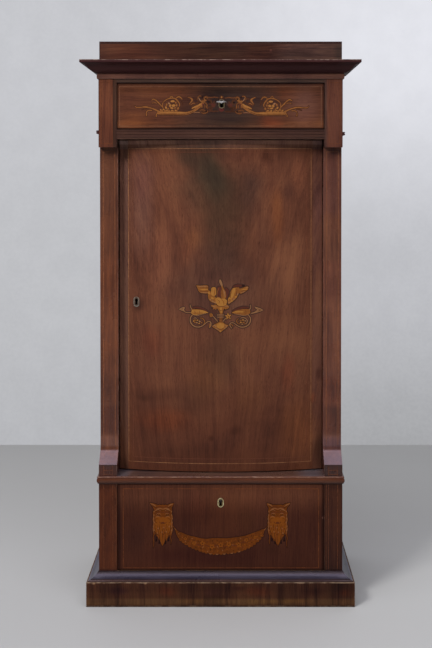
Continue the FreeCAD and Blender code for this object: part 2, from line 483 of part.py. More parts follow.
door = cut(door, placed(lbox(cx0, cx1, cy0, cy1 + 6.0, cz0, cz1)), placed(esc_cut), placed(local_hole),
           placed(lbox(-75.0, cx0 + 1.0, by0 - 0.6, by1 + 0.6, -5.6, 5.6)), *[placed(h) for h in door_fix_holes])
parts["door_panel"] = one(door)
parts["door_lock"] = placed(one(case))
parts["door_bolt"] = placed(one(bolt))
parts["door_escutcheon"] = placed(one(esc))
parts["door_screws"] = together(*screws_door, *[placed(s) for s in door_fix])

# ---------------------------------------------------------------- key, standing in the frieze drawer's lock with its bow level
ky = yy(FRIEZE_D)
shank = Part.makeCylinder(2.6, 44.0, V(KEY_X, ky - 28.0, KEY_Z), V(0, 1, 0))
collar = Part.makeCylinder(4.0, 3.0, V(KEY_X, ky - 12.0, KEY_Z), V(0, 1, 0))
BOW_RX, BOW_RY, WIRE = 15.5, 11.5, 2.3
outer = Part.Ellipse(V(KEY_X, ky - 36.0, KEY_Z - WIRE), BOW_RX, BOW_RY).toShape()
inner_e = Part.Ellipse(V(KEY_X, ky - 36.0, KEY_Z - WIRE), BOW_RX - 2 * WIRE, BOW_RY - 2 * WIRE).toShape()
bow = Part.Face(Part.Wire([outer])).extrude(V(0, 0, 2 * WIRE)).cut(Part.Face(Part.Wire([inner_e])).extrude(V(0, 0, 2 * WIRE)))
bow = bow.makeFillet(1.3, [e for e in bow.Edges if e.Length > 20])
bit = Part.makeBox(9.5, 4.2, 2.6, V(KEY_X + 0.5, ky + 11.3, KEY_Z - 1.3))
shank = shank.cut(Part.makeBox(2 * BOW_RX, 13.0, 20, V(KEY_X - BOW_RX, ky - 41.0 + 2.0, KEY_Z - 10)))
parts["key"] = one(bow.fuse(shank).fuse(collar).fuse(bit))

# ---------------------------------------------------------------- write the files
os.makedirs("parts", exist_ok=True)
for old in os.listdir("parts"):
    if old.endswith(".step"):
        os.remove(os.path.join("parts", old))
for name, shape in sorted(parts.items()):
    if not shape.isValid():
        print("NOT VALID", name)
    shape.exportStep(os.path.join("parts", name + ".step"))
total = Part.makeCompound(list(parts.values())).BoundBox
print(len(parts), "nodes; x", round(total.XMin, 3), round(total.XMax, 3), "y", round(total.YMin, 3), round(total.YMax, 3), "z", round(total.ZMin, 3), round(total.ZMax, 3))
print("door radius", round(DOOR_R, 2), "key angle", round(ANGLE, 4), "key depth", round(KEY_D, 3), "pivot y", round(yy(PIVOT_D), 3), "D_MID", D_MID)
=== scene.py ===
"""Looks of the bonnetiere cabinet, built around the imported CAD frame. Lengths in the code are millimetres unless a name says otherwise."""
import math
import bpy
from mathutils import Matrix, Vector
from mathutils.geometry import delaunay_2d_cdt


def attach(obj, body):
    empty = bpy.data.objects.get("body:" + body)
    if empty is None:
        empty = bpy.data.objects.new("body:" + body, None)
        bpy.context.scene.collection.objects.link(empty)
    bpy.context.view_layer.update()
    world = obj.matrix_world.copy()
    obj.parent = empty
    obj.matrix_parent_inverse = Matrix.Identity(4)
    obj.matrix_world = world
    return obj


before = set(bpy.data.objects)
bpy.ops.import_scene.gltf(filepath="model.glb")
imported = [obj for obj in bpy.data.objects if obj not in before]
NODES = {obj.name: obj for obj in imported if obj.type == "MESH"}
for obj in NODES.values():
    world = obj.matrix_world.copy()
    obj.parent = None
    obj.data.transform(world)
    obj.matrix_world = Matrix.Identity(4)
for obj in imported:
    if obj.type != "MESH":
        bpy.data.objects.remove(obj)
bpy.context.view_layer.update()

scene = bpy.context.scene

# ------------------------------------------------------------------ driving sizes, as in the CAD model
D_MID = 188.75
FRIEZE_D = 11.0
PILASTER_D = 45.0
DOOR_R = 1385.38
DOOR_AXIS_D = 40.0 + DOOR_R
LOWER_D = 0.0
CAM_X, CAM_DIST, CAM_H, CAM_PITCH, LENS = 40.0, 3300.0, 1368.8, 1.0, 57.45
SHIFT_X, SHIFT_Y = -0.0264, -0.20
W, H = 432.0, 648.0
FOCAL = LENS / 36.0 * H


def door_depth(x):
    return DOOR_AXIS_D - math.sqrt(DOOR_R ** 2 - x * x)


def on_plane(u, v, d):
    """Where the sight line through the picture point (u, v) meets the upright plane at depth d: (x, z)."""
    t = math.radians(CAM_PITCH)
    c, s = math.cos(t), math.sin(t)
    yy = CAM_DIST + d
    k = H / 2 + SHIFT_Y * H - v
    z = yy * (k * c - FOCAL * s) / (FOCAL * c + k * s)
    dep = yy * c - z * s
    x = CAM_X + (u - W / 2 - (-SHIFT_X) * H) * dep / FOCAL
    return x, z + CAM_H


def on_door(u, v):
    d = 50.0
    for _ in range(4):
        x, z = on_plane(u, v, d)
        d = door_depth(x)
    return x, z


def srgb(r, g, b):
    return tuple(((c / 255.0 + 0.055) / 1.055) ** 2.4 if c > 10 else c / 255.0 / 12.92 for c in (r, g, b))


# ------------------------------------------------------------------ a small kit for materials
class Mat:
    def __init__(self, name):
        self.m = bpy.data.materials.new(name)
        self.m.use_nodes = True
        self.t = self.m.node_tree
        self.t.nodes.clear()
        self.out = self.t.nodes.new("ShaderNodeOutputMaterial")
        self.b = self.t.nodes.new("ShaderNodeBsdfPrincipled")
        self.t.links.new(self.b.outputs["BSDF"], self.out.inputs["Surface"])
        self._p = None

    def put(self, sock, v):
        if isinstance(v, bpy.types.NodeSocket):
            self.t.links.new(v, sock)
        elif isinstance(v, (tuple, list)):
            v = tuple(v)
            sock.default_value = v + (1.0,) if len(sock.default_value) == 4 and len(v) == 3 else v
        else:
            sock.default_value = v

    def n(self, kind, **props):
        node = self.t.nodes.new(kind)
        for k, v in props.items():
            setattr(node, k, v)
        return node

    def p(self):
        if self._p is None:
            self._p = self.n("ShaderNodeTexCoord").outputs["Object"]
        return self._p

    def axes(self, vec=None):
        s = self.n("ShaderNodeSeparateXYZ")
        self.put(s.inputs[0], vec or self.p())
        return s.outputs[0], s.outputs[1], s.outputs[2]

    def vec(self, x, y, z):
        c = self.n("ShaderNodeCombineXYZ")
        for i, v in enumerate((x, y, z)):
            self.put(c.inputs[i], v)
        return c.outputs[0]

    def vmath(self, op, a, b=None, out=0):
        k = self.n("ShaderNodeVectorMath", operation=op)
        self.put(k.inputs[0], a)
        if b is not None:
            self.put(k.inputs[1], b)
        return k.outputs["Value"] if out else k.outputs[0]

    def scaled(self, vec, sc):
        return self.vmath("MULTIPLY", vec, sc)

    def math(self, op, a, b=0.0, clamp=False):
        k = self.n("ShaderNodeMath", operation=op, use_clamp=clamp)
        self.put(k.inputs[0], a)
        self.put(k.inputs[1], b)
        return k.outputs[0]

    def noise(self, vec, scale, detail=2.0, rough=0.5, dist=0.0, color=False):
        k = self.n("ShaderNodeTexNoise")
        self.put(k.inputs["Vector"], vec)
        self.put(k.inputs["Scale"], scale)
        self.put(k.inputs["Detail"], detail)
        self.put(k.inputs["Roughness"], rough)
        self.put(k.inputs["Distortion"], dist)
        return k.outputs["Color"] if color else k.outputs["Fac"]

    def span(self, v, lo, hi, a=0.0, b=1.0):
        k = self.n("ShaderNodeMapRange", interpolation_type="SMOOTHSTEP")
        for i, q in enumerate((v, lo, hi, a, b)):
            self.put(k.inputs[i], q)
        return k.outputs[0]

    def line(self, v, lo, hi, a=0.0, b=1.0):
        k = self.n("ShaderNodeMapRange")
        for i, q in enumerate((v, lo, hi, a, b)):
            self.put(k.inputs[i], q)
        return k.outputs[0]

    def mix(self, f, a, b, kind="MIX"):
        k = self.n("ShaderNodeMix", data_type="RGBA", blend_type=kind)
        self.put(k.inputs["Factor"], f)
        ins = [s for s in k.inputs if s.type == "RGBA"]
        self.put(ins[0], a)
        self.put(ins[1], b)
        return [s for s in k.outputs if s.type == "RGBA"][0]

    def ramp(self, f, stops):
        k = self.n("ShaderNodeValToRGB")
        e = k.color_ramp.elements
        while len(e) < len(stops):
            e.new(0.5)
        for el, (pos, col) in zip(e, stops):
            el.position = pos
            el.color = tuple(col) + (1.0,)
        self.put(k.inputs[0], f)
        return k.outputs[0]

    def bump(self, height, strength, distance):
        k = self.n("ShaderNodeBump")
        self.put(k.inputs["Height"], height)
        self.put(k.inputs["Strength"], strength)
        self.put(k.inputs["Distance"], distance)
        self.t.links.new(k.outputs[0], self.b.inputs["Normal"])
        return k

    def set(self, **kw):
        for k, v in kw.items():
            self.put(self.b.inputs[k.replace("_", " ")], v)
        return self


def times(c, k):
    return tuple(a * b for a, b in zip(c, k if isinstance(k, (tuple, list)) else (k, k, k)))


def wood(name, base, grain="Z", contrast=1.0, streak=1.0, fine=1.0, seed=0.0, rough=0.33, coat=0.12, patches=(), edge_wear_and_highlight=(), fan=None, figure=0.0, pores=1.0,
         crossband=0.0, bend=0.012, dust=0.0, tail=None, spec=0.25, shade=(), feather=None):
    """Polished wood. base is its mean colour; grain is the axis it runs along; patches are soft tone changes (x, z, rx,
    rz, (r, g, b), strength), many of them painted light and shade;
    shade is bands (axis, from, to, softness, (r, g, b), strength) that multiply the colour, painted light and shade;
    the worn-edge lines (axis, value, width, amount) are worn wood and on some edges a painted highlight; fan makes the
    grain fan out above the height given."""
    m = Mat(name)
    x, y, z = m.axes()
    if grain == "Z":
        across, thick, along = x, y, z
    elif grain == "X":
        across, thick, along = z, y, x
    else:
        across, thick, along = x, z, y
    if fan:
        z0, k = fan
        h = m.math("MULTIPLY_ADD", z, k)
        h.node.inputs[2].default_value = 1.0 - z0 * k
        across = m.math("DIVIDE", across, h)
    c = m.vec(across, thick, along)
    c = m.vmath("ADD", c, (seed, seed * 0.37, seed * 1.7))
    low = m.noise(m.scaled(c, (1.0, 1.0, 0.45)), 2.6, 2.0, 0.5, color=True)
    warp = m.scaled(m.vmath("SUBTRACT", low, (0.5, 0.5, 0.5)), (bend * 6, bend * 6, bend * 2))
    w = m.vmath("ADD", c, warp)
    broad = m.noise(m.scaled(w, (1.0, 1.0, 0.16)), 9.0, 3.0, 0.55)
    bands = m.noise(m.scaled(w, (1.0, 1.0, 0.045)), 62.0, 4.0, 0.6)
    lines = m.noise(m.scaled(w, (1.0, 1.0, 0.028)), 310.0, 3.0, 0.65)
    blot = m.noise(c, 3.4, 3.0, 0.55, 0.6)
    t = m.math("MULTIPLY", m.math("SUBTRACT", broad, 0.5), 0.75 * contrast)
    t = m.math("ADD", t, m.math("MULTIPLY", m.math("SUBTRACT", bands, 0.5), 0.62 * streak * contrast))
    if feather:
        # crotch veneer: the grain sweeps down to the middle line, then runs straight
        x0, z_lo, z_hi, power = feather
        v = m.vmath("ADD", m.p(), m.scaled(m.vmath("SUBTRACT", low, (0.5, 0.5, 0.5)), (0.22, 0.0, 0.16)))
        vx, _, vz = m.axes(v)
        a = m.math("ABSOLUTE", m.math("SUBTRACT", vx, x0))
        a = m.math("SQRT", m.math("ADD", m.math("MULTIPLY", a, a), 0.0016))
        rise = m.math("SUBTRACT", m.math("MULTIPLY", a, 2.7), vz)
        run = m.math("ADD", a, m.math("MULTIPLY", vz, 2.7))
        plume = m.noise(m.vec(rise, m.math("MULTIPLY", run, 0.14), seed), 9.0, 4.0, 0.62)
        barbs = m.noise(m.vec(rise, m.math("MULTIPLY", run, 0.06), seed + 2.0), 52.0, 4.0, 0.65)
        part = m.span(z, z_lo, z_hi)
        t = m.math("MULTIPLY", t, m.line(part, 0.0, 1.0, 1.0, 0.6))
        sweep = m.math("ADD", m.math("MULTIPLY", m.math("SUBTRACT", plume, 0.5), 1.2 * power), m.math("MULTIPLY", m.math("SUBTRACT", barbs, 0.5), 0.55 * power))
        t = m.math("ADD", t, m.math("MULTIPLY", sweep, part))
    t = m.math("ADD", t, m.math("MULTIPLY", m.math("SUBTRACT", lines, 0.5), 0.50 * fine * contrast))
    t = m.math("ADD", t, m.math("MULTIPLY", m.math("SUBTRACT", blot, 0.5), 0.65 * contrast))
    if figure:
        ripple = m.noise(m.scaled(w, (1.0, 1.0, 2.4)), 16.0, 3.0, 0.5, 0.4)
        t = m.math("ADD", t, m.math("MULTIPLY", m.math("SUBTRACT", ripple, 0.5), figure))
    t = m.math("ADD", t, 0.5)
    col = m.ramp(t, [(0.0, times(base, (0.30, 0.28, 0.34))), (0.30, times(base, (0.62, 0.62, 0.70))), (0.50, base), (0.72, times(base, (1.36, 1.42, 1.30))), (1.0, times(base, (1.85, 2.05, 1.75)))])
    if crossband:
        seg = m.noise(m.vec(m.math("MULTIPLY", x, 1.0), 0.0, 0.0), 17.0, 1.0, 0.4)
        col = m.mix(m.span(seg, 0.40, 0.60, 0.0, crossband), col, times(base, (1.7, 1.9, 1.6)))
    soft = m.noise(m.p(), 9.0, 2.0, 0.5, color=True)
    off = m.scaled(m.vmath("SUBTRACT", soft, (0.5, 0.5, 0.5)), (0.9, 0.0, 0.9))
    # patches: soft pools of changed colour, many of them painted light and shade
    for (px, pz, rx, rz, mul, amount) in patches:
        q = m.vmath("SUBTRACT", m.p(), (px / 1000.0, 0.0, pz / 1000.0))
        q = m.vmath("ADD", m.scaled(q, (1000.0 / rx, 0.0, 1000.0 / rz)), off)
        f = m.span(m.vmath("LENGTH", q, out=1), 0.15, 1.15, amount, 0.0)
        col = m.mix(f, col, mul, "MULTIPLY")
    # shade bands: painted light and shade along one axis, lifting the colour in some bands and darkening it in others
    for (axis, b0, b1, soft_mm, mul, amount) in shade:
        a = {"x": x, "y": y, "z": z}[axis]
        up = m.span(a, (b0 - soft_mm) / 1000.0, (b0 + soft_mm) / 1000.0)
        down = m.span(a, (b1 - soft_mm) / 1000.0, (b1 + soft_mm) / 1000.0, 1.0, 0.0)
        col = m.mix(m.math("MULTIPLY", m.math("MULTIPLY", up, down), amount), col, mul, "MULTIPLY")
    # pores: short dark flecks along the grain
    flecks = m.noise(m.scaled(w, (1.0, 1.0, 0.05)), 1150.0, 2.0, 0.5)
    mask = m.noise(m.scaled(w, (1.0, 1.0, 0.12)), 95.0, 2.0, 0.6)
    fl = m.math("MULTIPLY", m.span(flecks, 0.54, 0.72, 0.0, 0.62 * pores), m.span(mask, 0.32, 0.62, 0.25, 1.0))
    col = m.mix(fl, col, times(base, (0.22, 0.20, 0.24)))
    rub = m.noise(m.p(), 55.0, 5.0, 0.65)
    # pale lines along edges: worn wood, and on some edges a painted highlight of the arris
    for (axis, value, width, amount) in edge_wear_and_highlight:
        a = {"x": x, "y": y, "z": z}[axis]
        near = m.span(m.math("ABSOLUTE", m.math("SUBTRACT", a, value / 1000.0)), 0.0, width / 1000.0, 1.0, 0.0)
        f = m.math("MULTIPLY", near, m.span(rub, 0.42, 0.66, 0.15 * amount, amount))
        col = m.mix(f, col, tail or srgb(158, 122, 98))
    if dust:
        g = m.n("ShaderNodeNewGeometry")
        nz = m.axes(g.outputs["Normal"])[2]
        f = m.math("MULTIPLY", m.span(nz, 0.55, 0.98), m.span(m.noise(m.p(), 22.0, 4.0, 0.6), 0.30, 0.75, dust * 0.35, dust))
        col = m.mix(f, col, srgb(150, 142, 140))
    rr = m.line(m.noise(m.p(), 7.0, 4.0, 0.6), 0.25, 0.75, rough - 0.07, rough + 0.09)
    rr = m.math("ADD", rr, m.math("MULTIPLY", fl, 0.25))
    m.set(Base_Color=col, Roughness=rr)
    m.put(m.b.inputs["Coat Weight"], coat)
    m.put(m.b.inputs["Coat Roughness"], 0.16)
    m.put(m.b.inputs["IOR"], 1.5)
    m.put(m.b.inputs["Specular IOR Level"], spec)
    hgt = m.math("SUBTRACT", m.math("MULTIPLY", bands, 0.6), m.math("MULTIPLY", fl, 0.8))
    hgt = m.math("ADD", hgt, m.math("MULTIPLY", lines, 0.25))
    m.bump(hgt, 0.22, 0.0006)
    return m.m


def pine(name, base, grain="Z", seed=0.0, rings=1.0, dirt=0.5, seams=()):
    """Unpolished softwood: pale early wood, darker bands, patchy dirt."""
    m = Mat(name)
    x, y, z = m.axes()
    across, thick, along = {"Z": (x, y, z), "X": (z, y, x), "Y": (x, z, y)}[grain]
    c = m.vmath("ADD", m.vec(across, thick, along), (seed, seed * 0.7, seed * 1.3))
    low = m.noise(m.scaled(c, (1.0, 1.0, 0.3)), 2.2, 2.0, 0.5, color=True)
    w = m.vmath("ADD", c, m.scaled(m.vmath("SUBTRACT", low, (0.5, 0.5, 0.5)), (0.10, 0.10, 0.05)))
    s = m.scaled(w, (1.0, 1.0, 0.05))
    wave = m.n("ShaderNodeTexWave", wave_type="BANDS", bands_direction="X", wave_profile="SAW")
    m.put(wave.inputs["Vector"], s)
    m.put(wave.inputs["Scale"], 26.0)
    m.put(wave.inputs["Distortion"], 5.5)
    m.put(wave.inputs["Detail"], 3.0)
    m.put(wave.inputs["Detail Scale"], 1.4)
    fine = m.noise(s, 420.0, 3.0, 0.6)
    t = m.math("ADD", m.math("MULTIPLY", wave.outputs["Fac"], 0.55 * rings), m.math("MULTIPLY", fine, 0.5))
    col = m.ramp(t, [(0.15, times(base, 1.12)), (0.45, base), (0.75, times(base, (0.72, 0.64, 0.55))), (0.95, times(base, (0.50, 0.40, 0.32)))])
    grime = m.noise(m.p(), 5.0, 5.0, 0.65)
    col = m.mix(m.span(grime, 0.42, 0.75, 0.0, dirt), col, times(base, (0.42, 0.38, 0.34)))
    for sx in seams:  # darker along the joints between boards: dirt, and the painted shade of the narrow gaps
        near = m.span(m.math("ABSOLUTE", m.math("SUBTRACT", x, sx / 1000.0)), 0.0012, 0.0075, 1.0, 0.0)
        col = m.mix(m.math("MULTIPLY", near, 0.85), col, times(base, (0.22, 0.18, 0.15)))
    m.set(Base_Color=col, Roughness=m.line(fine, 0.2, 0.8, 0.62, 0.82))
    m.put(m.b.inputs["IOR"], 1.45)
    m.bump(m.math("ADD", m.math("MULTIPLY", t, -0.6), m.math("MULTIPLY", fine, 0.4)), 0.35, 0.0005)
    return m.m


def metal(name, base, dark, rough=0.34, worn=0.45, spots=60.0, metallic=1.0, rim=None, inner=None, painted_shade_above=None):
    """Old metal: bright where it is rubbed, dark where it has tarnished, with fine scratches; rim paints the plate
    darker inside a rubbed rim (painted shade), and the last option paints shade above a height.
    """
    m = Mat(name)
    patch = m.noise(m.p(), spots, 5.0, 0.62)
    fine = m.noise(m.p(), 900.0, 3.0, 0.6)
    scratch = m.noise(m.scaled(m.p(), (1.0, 1.0, 0.08)), 2400.0, 2.0, 0.5)
    f = m.span(m.math("ADD", patch, m.math("MULTIPLY", m.math("SUBTRACT", fine, 0.5), 0.35)), worn - 0.14, worn + 0.16)
    col = m.mix(f, dark, base)
    if rim:  # (x, z, half width, half height, width of the rubbed rim) in mm: inside the rim the plate is painted darker, standing for shaded wood within a thread ring
        cx, cz, rw, rh, ring = [q / 1000.0 for q in rim]
        x, _, z = m.axes()
        dx = m.math("ABSOLUTE", m.math("SUBTRACT", x, cx))
        dz = m.math("MAXIMUM", m.math("SUBTRACT", m.math("ABSOLUTE", m.math("SUBTRACT", z, cz)), rh - rw), 0.0)
        r = m.math("SQRT", m.math("ADD", m.math("MULTIPLY", dx, dx), m.math("MULTIPLY", dz, dz)))
        col = m.mix(m.span(r, rw - ring - 0.0006, rw - ring + 0.0006, 0.94, 0.0), col, inner)
    if painted_shade_above:  # (height in mm, colour): painted shade above that height, leaving only the lower edge bright
        _, _, z = m.axes()
        col = m.mix(m.span(z, painted_shade_above[0] / 1000.0 - 0.0005, painted_shade_above[0] / 1000.0 + 0.0005, 0.0, 0.9), col, painted_shade_above[1])
    m.set(Base_Color=col, Roughness=m.math("ADD", m.line(f, 0.0, 1.0, rough + 0.26, rough), m.math("MULTIPLY", m.math("SUBTRACT", scratch, 0.5), 0.16)))
    m.put(m.b.inputs["Metallic"], metallic)
    m.bump(m.math("ADD", m.math("MULTIPLY", patch, 0.6), m.math("MULTIPLY", scratch, 0.3)), 0.25, 0.0004)
    return m.m


# ------------------------------------------------------------------ colours of the wood, by place: the wood's tone with painted light and shade mixed in, so the left and right copies differ (the right stile much darker) and the lower parts are darker
A = {
    "door": (0.1397, 0.0502, 0.0284),
    "drawer1": (0.0955, 0.0318, 0.0166),
    "drawer2": (0.0680, 0.0198, 0.0107),
    "pil_l": (0.1365, 0.0450, 0.0212),
    "pil_r": (0.1280, 0.0450, 0.0260),
    "block_l": (0.1118, 0.0350, 0.0186),
    "block_r": (0.0938, 0.0307, 0.0201),
    "stile_l": (0.0730, 0.0165, 0.0057),
    "stile_r": (0.0418, 0.0106, 0.0050),
    "gallery": (0.0548, 0.0202, 0.0134),
    "cornice": (0.0478, 0.0162, 0.0158),
    "neck": (0.1269, 0.0538, 0.0381),
    "rail": (0.0722, 0.0390, 0.0277),
    "midrail": (0.0657, 0.0290, 0.0200),
    "ledge": (0.0980, 0.0473, 0.0350),
    "ledge_mould": (0.1007, 0.0294, 0.0120),
    "basemould": (0.0560, 0.0260, 0.0220),
    "plinth": (0.0520, 0.0168, 0.0087),
    "side": (0.0900, 0.0320, 0.0180),
}


def px_patch(u, v, ru, rv, mul, amount, surf="door"):
    x, z = on_door(u, v) if surf == "door" else on_plane(u, v, {"top": FRIEZE_D, "low": LOWER_D, "attic": 23.0}[surf])
    k = 3.25
    return (x, z, ru * k, rv * k, mul, amount)


SMOKE = (0.58, 0.68, 0.66)
WARM = (1.28, 1.20, 1.10)
GLOW = (1.55, 1.32, 1.0)
DARK = (0.58, 0.55, 0.58)
# Door patches, given in picture points: soft pools that lift or darken the colour. Many are painted light and shade
# following the light across the door (brighter bands left and right of the middle, the lift at the top of the left edge
# strip, the dark foot of the right edge strip in the pilaster's shade); the others are the veneer's own tone, dark
# knots and old dirt round the escutcheon.
DOOR_PATCHES = [
    px_patch(142, 200, 17, 70, (1.16, 1.34, 1.58), 1.0), px_patch(190, 204, 10, 22, (0.80, 0.85, 0.90), 0.9), px_patch(254, 192, 16, 34, (0.80, 0.92, 1.02), 0.9), px_patch(206, 172, 36, 40, (0.40, 0.64, 0.74), 1.0), px_patch(220, 208, 30, 50, (0.50, 0.66, 0.72), 1.0), px_patch(226, 252, 28, 30, (0.62, 0.76, 0.86), 0.9),
    px_patch(188, 156, 16, 16, (0.62, 0.76, 0.82), 0.8), px_patch(244, 196, 16, 40, (0.62, 0.72, 0.80), 0.8), px_patch(220, 290, 66, 44, (0.74, 0.86, 1.02), 0.9),
    px_patch(138.6, 304.5, 7, 9, (0.52, 0.54, 0.60), 1.0), px_patch(266, 156, 8, 9, DARK, 0.9), px_patch(256, 181, 15, 11, (0.72, 0.78, 0.88), 0.7), px_patch(290, 192, 9, 14, (0.66, 0.68, 0.80), 0.8),
    px_patch(194, 240, 11, 15, (1.42, 1.42, 1.16), 0.8), px_patch(186, 258, 9, 20, WARM, 0.7), px_patch(278, 215, 8, 34, (1.34, 1.20, 0.92), 0.8), px_patch(299, 175, 10, 26, (1.34, 1.26, 1.2), 0.7),
    px_patch(160, 262, 20, 40, (1.34, 1.34, 1.32), 0.9), px_patch(288, 270, 24, 44, (1.54, 1.64, 1.52), 0.9), px_patch(290, 338, 26, 30, (1.27, 1.32, 1.24), 0.8), px_patch(142, 180, 12, 26, (1.0, 0.92, 0.98), 0.8),
    px_patch(158, 394, 32, 9, (0.74, 0.74, 0.78), 0.9), px_patch(143, 398, 9, 5, (0.70, 0.72, 0.74), 0.8), px_patch(198, 396, 30, 28, (0.77, 0.82, 0.86), 0.9), px_patch(164, 420, 32, 16, (1.30, 1.06, 0.88), 0.9), px_patch(289, 374, 9, 22, (1.22, 0.98, 0.92), 0.7),
    px_patch(211, 438, 4, 4, DARK, 0.9), px_patch(236, 430, 8, 7, DARK, 0.65), px_patch(204, 380, 22, 30, (1.10, 1.08, 0.90), 0.7), px_patch(319, 452, 9, 30, (0.42, 0.44, 0.48), 0.9), px_patch(318, 205, 5, 24, (1.22, 1.24, 1.34), 0.9), px_patch(318, 300, 5, 46, (1.26, 1.28, 1.12), 0.9),
    px_patch(319, 374, 6, 10, DARK, 0.7), px_patch(313, 398, 4, 7, (1.6, 1.2, 0.9), 0.6), px_patch(318, 250, 6, 120, (0.92, 0.90, 0.98), 0.5), px_patch(248, 400, 26, 30, (0.92, 0.92, 0.84), 0.7),
    px_patch(220, 456, 110, 16, (0.86, 0.82, 0.80), 0.6), px_patch(122, 166, 7, 26, (1.3, 1.3, 1.3), 0.9), px_patch(123, 452, 9, 40, (0.90, 0.80, 0.70), 0.9), px_patch(298, 430, 24, 40, (1.66, 1.62, 1.24), 0.9), px_patch(222, 356, 26, 34, (0.82, 0.93, 0.94), 0.9), px_patch(152, 342, 14, 22, (1.12, 0.92, 0.90), 0.7), px_patch(262, 240, 9, 30, (0.80, 0.84, 0.92), 0.7),
]
# Frieze drawer patches: the veneer's tone and a dark middle, with painted light lifting the right end and parts of the
# lower edge.
TOP_PATCHES = [
    px_patch(229, 106, 56, 40, (0.43, 0.74, 1.10), 0.95, "top"), px_patch(212, 98, 17, 22, (0.70, 0.74, 0.76), 0.8, "top"), px_patch(238, 122, 26, 9, (0.76, 0.80, 0.84), 0.8, "top"), px_patch(304, 104, 20, 26, (1.34, 1.66, 2.20), 0.9, "top"), px_patch(136, 122, 22, 12, (1.30, 1.22, 1.0), 0.8, "top"), px_patch(128, 98, 12, 16, (0.92, 0.90, 0.98), 0.7, "top"),
    px_patch(165, 92, 26, 10, (1.16, 1.10, 0.98), 0.7, "top"), px_patch(268, 123, 16, 9, (1.62, 1.10, 0.90), 0.9, "top"), px_patch(292, 93, 20, 8, (1.26, 1.12, 0.90), 0.8, "top"),
    px_patch(306, 112, 12, 16, (1.06, 0.98, 1.0), 0.7, "top"), px_patch(212, 124, 60, 5, (0.86, 0.90, 0.94), 0.6, "top"),
]
# Base drawer patches: tone changes, partly painted light and shade (a lighter middle, a darker left end and lower
# edge); the tiny bright spot at the right end is a chip.
LOW_PATCHES = [
    px_patch(222, 520, 40, 34, (1.20, 1.18, 1.02), 0.9, "low"), px_patch(135, 542, 17, 20, (0.72, 0.76, 0.90), 0.9, "low"), px_patch(304, 524, 16, 40, (1.02, 1.02, 1.04), 0.8, "low"),
    px_patch(256, 500, 24, 16, (1.02, 0.96, 1.0), 0.6, "low"), px_patch(204, 556, 70, 12, (0.72, 0.60, 0.72), 0.8, "low"), px_patch(272, 548, 14, 8, (0.82, 0.84, 0.82), 0.7, "low"),
    px_patch(196, 505, 18, 18, (1.06, 0.94, 0.98), 0.6, "low"), px_patch(246, 520, 10, 24, (0.92, 1.0, 0.86), 0.5, "low"), px_patch(322.6, 518.0, 1.0, 1.5, (5.0, 8.0, 10.0), 1.0, "low"),
]
# Gallery patches: tone changes, partly painted light and shade; the small pale spot is a chip.
ATTIC_PATCHES = [
    px_patch(128, 50, 34, 22, (1.24, 1.10, 1.02), 0.9, "attic"), px_patch(212, 50, 56, 22, (0.80, 0.92, 0.92), 0.95, "attic"), px_patch(292, 46, 36, 8, (1.10, 0.98, 1.02), 0.8, "attic"),
    px_patch(338, 50, 7, 16, (0.52, 0.62, 0.68), 0.9, "attic"), px_patch(271, 50.5, 1.6, 1.6, (2.4, 2.3, 2.3), 0.9, "attic"), px_patch(103, 50, 5, 16, (0.80, 0.78, 0.86), 0.6, "attic"),
]

PLINTH_PATCHES = [(x, z, rx, rz, mul, 1.0) for x, z, rx, rz, mul in (
    (-404, 75.0, 7, 4, (4.5, 7.5, 8.5)), (-371, 75.5, 6, 3, (4.0, 6.5, 7.5)), (-240, 75.0, 7, 3.5, (4.5, 7.5, 8.5)), (-118, 76, 14, 2.5, (2.6, 3.6, 4.2)), (92, 76, 20, 2.5, (2.4, 3.4, 4.0)), (255, 75.6, 12, 3, (3.0, 4.6, 5.2)),
    (-330, 52, 40, 18, (0.62, 0.55, 0.85)), (-170, 50, 36, 20, (1.25, 0.92, 0.85)), (-20, 46, 44, 18, (1.15, 1.06, 1.34)), (10, 17, 60, 11, (1.45, 1.50, 1.35)), (130, 17, 56, 11, (1.32, 1.34, 1.05)), (385, 18, 46, 11, (1.20, 1.16, 1.05)), (120, 50, 50, 20, (1.22, 0.90, 0.80)), (300, 46, 46, 18, (0.70, 0.60, 0.66)),
    (395, 44, 26, 14, (1.3, 0.95, 0.8)), (-90, 18, 60, 9, (1.35, 1.30, 1.0)), (230, 18, 90, 9, (1.45, 1.40, 1.05)), (60, 60, 30, 9, (0.7, 0.6, 0.7)), (-392, 20, 30, 10, (0.8, 0.78, 0.8)))]
# Pilaster bands along the height: the foot's face below the sweep painted much darker, a thin darker line at the foot's
# top, the pilaster above the sweep lifted (painted light), and its top under the frieze block painted darker (painted
# shade).
PIL_BANDS = [("z", 380.0, 443.4, 0.6, (0.42, 0.20, 0.06), 1.0), ("z", 443.6, 447.0, 1.4, (0.5, 0.4, 0.5), 0.7), ("z", 500.0, 580.0, 30.0, (1.22, 1.10, 0.95), 0.8), ("z", 1430.0, 1462.0, 14.0, (0.72, 0.74, 0.78), 0.8)]


def pil_band(v0, v1, soft, mul, amount=0.9):
    return ("z", on_plane(109.0, v1, 11.0)[1], on_plane(109.0, v0, 11.0)[1], soft, mul, amount)


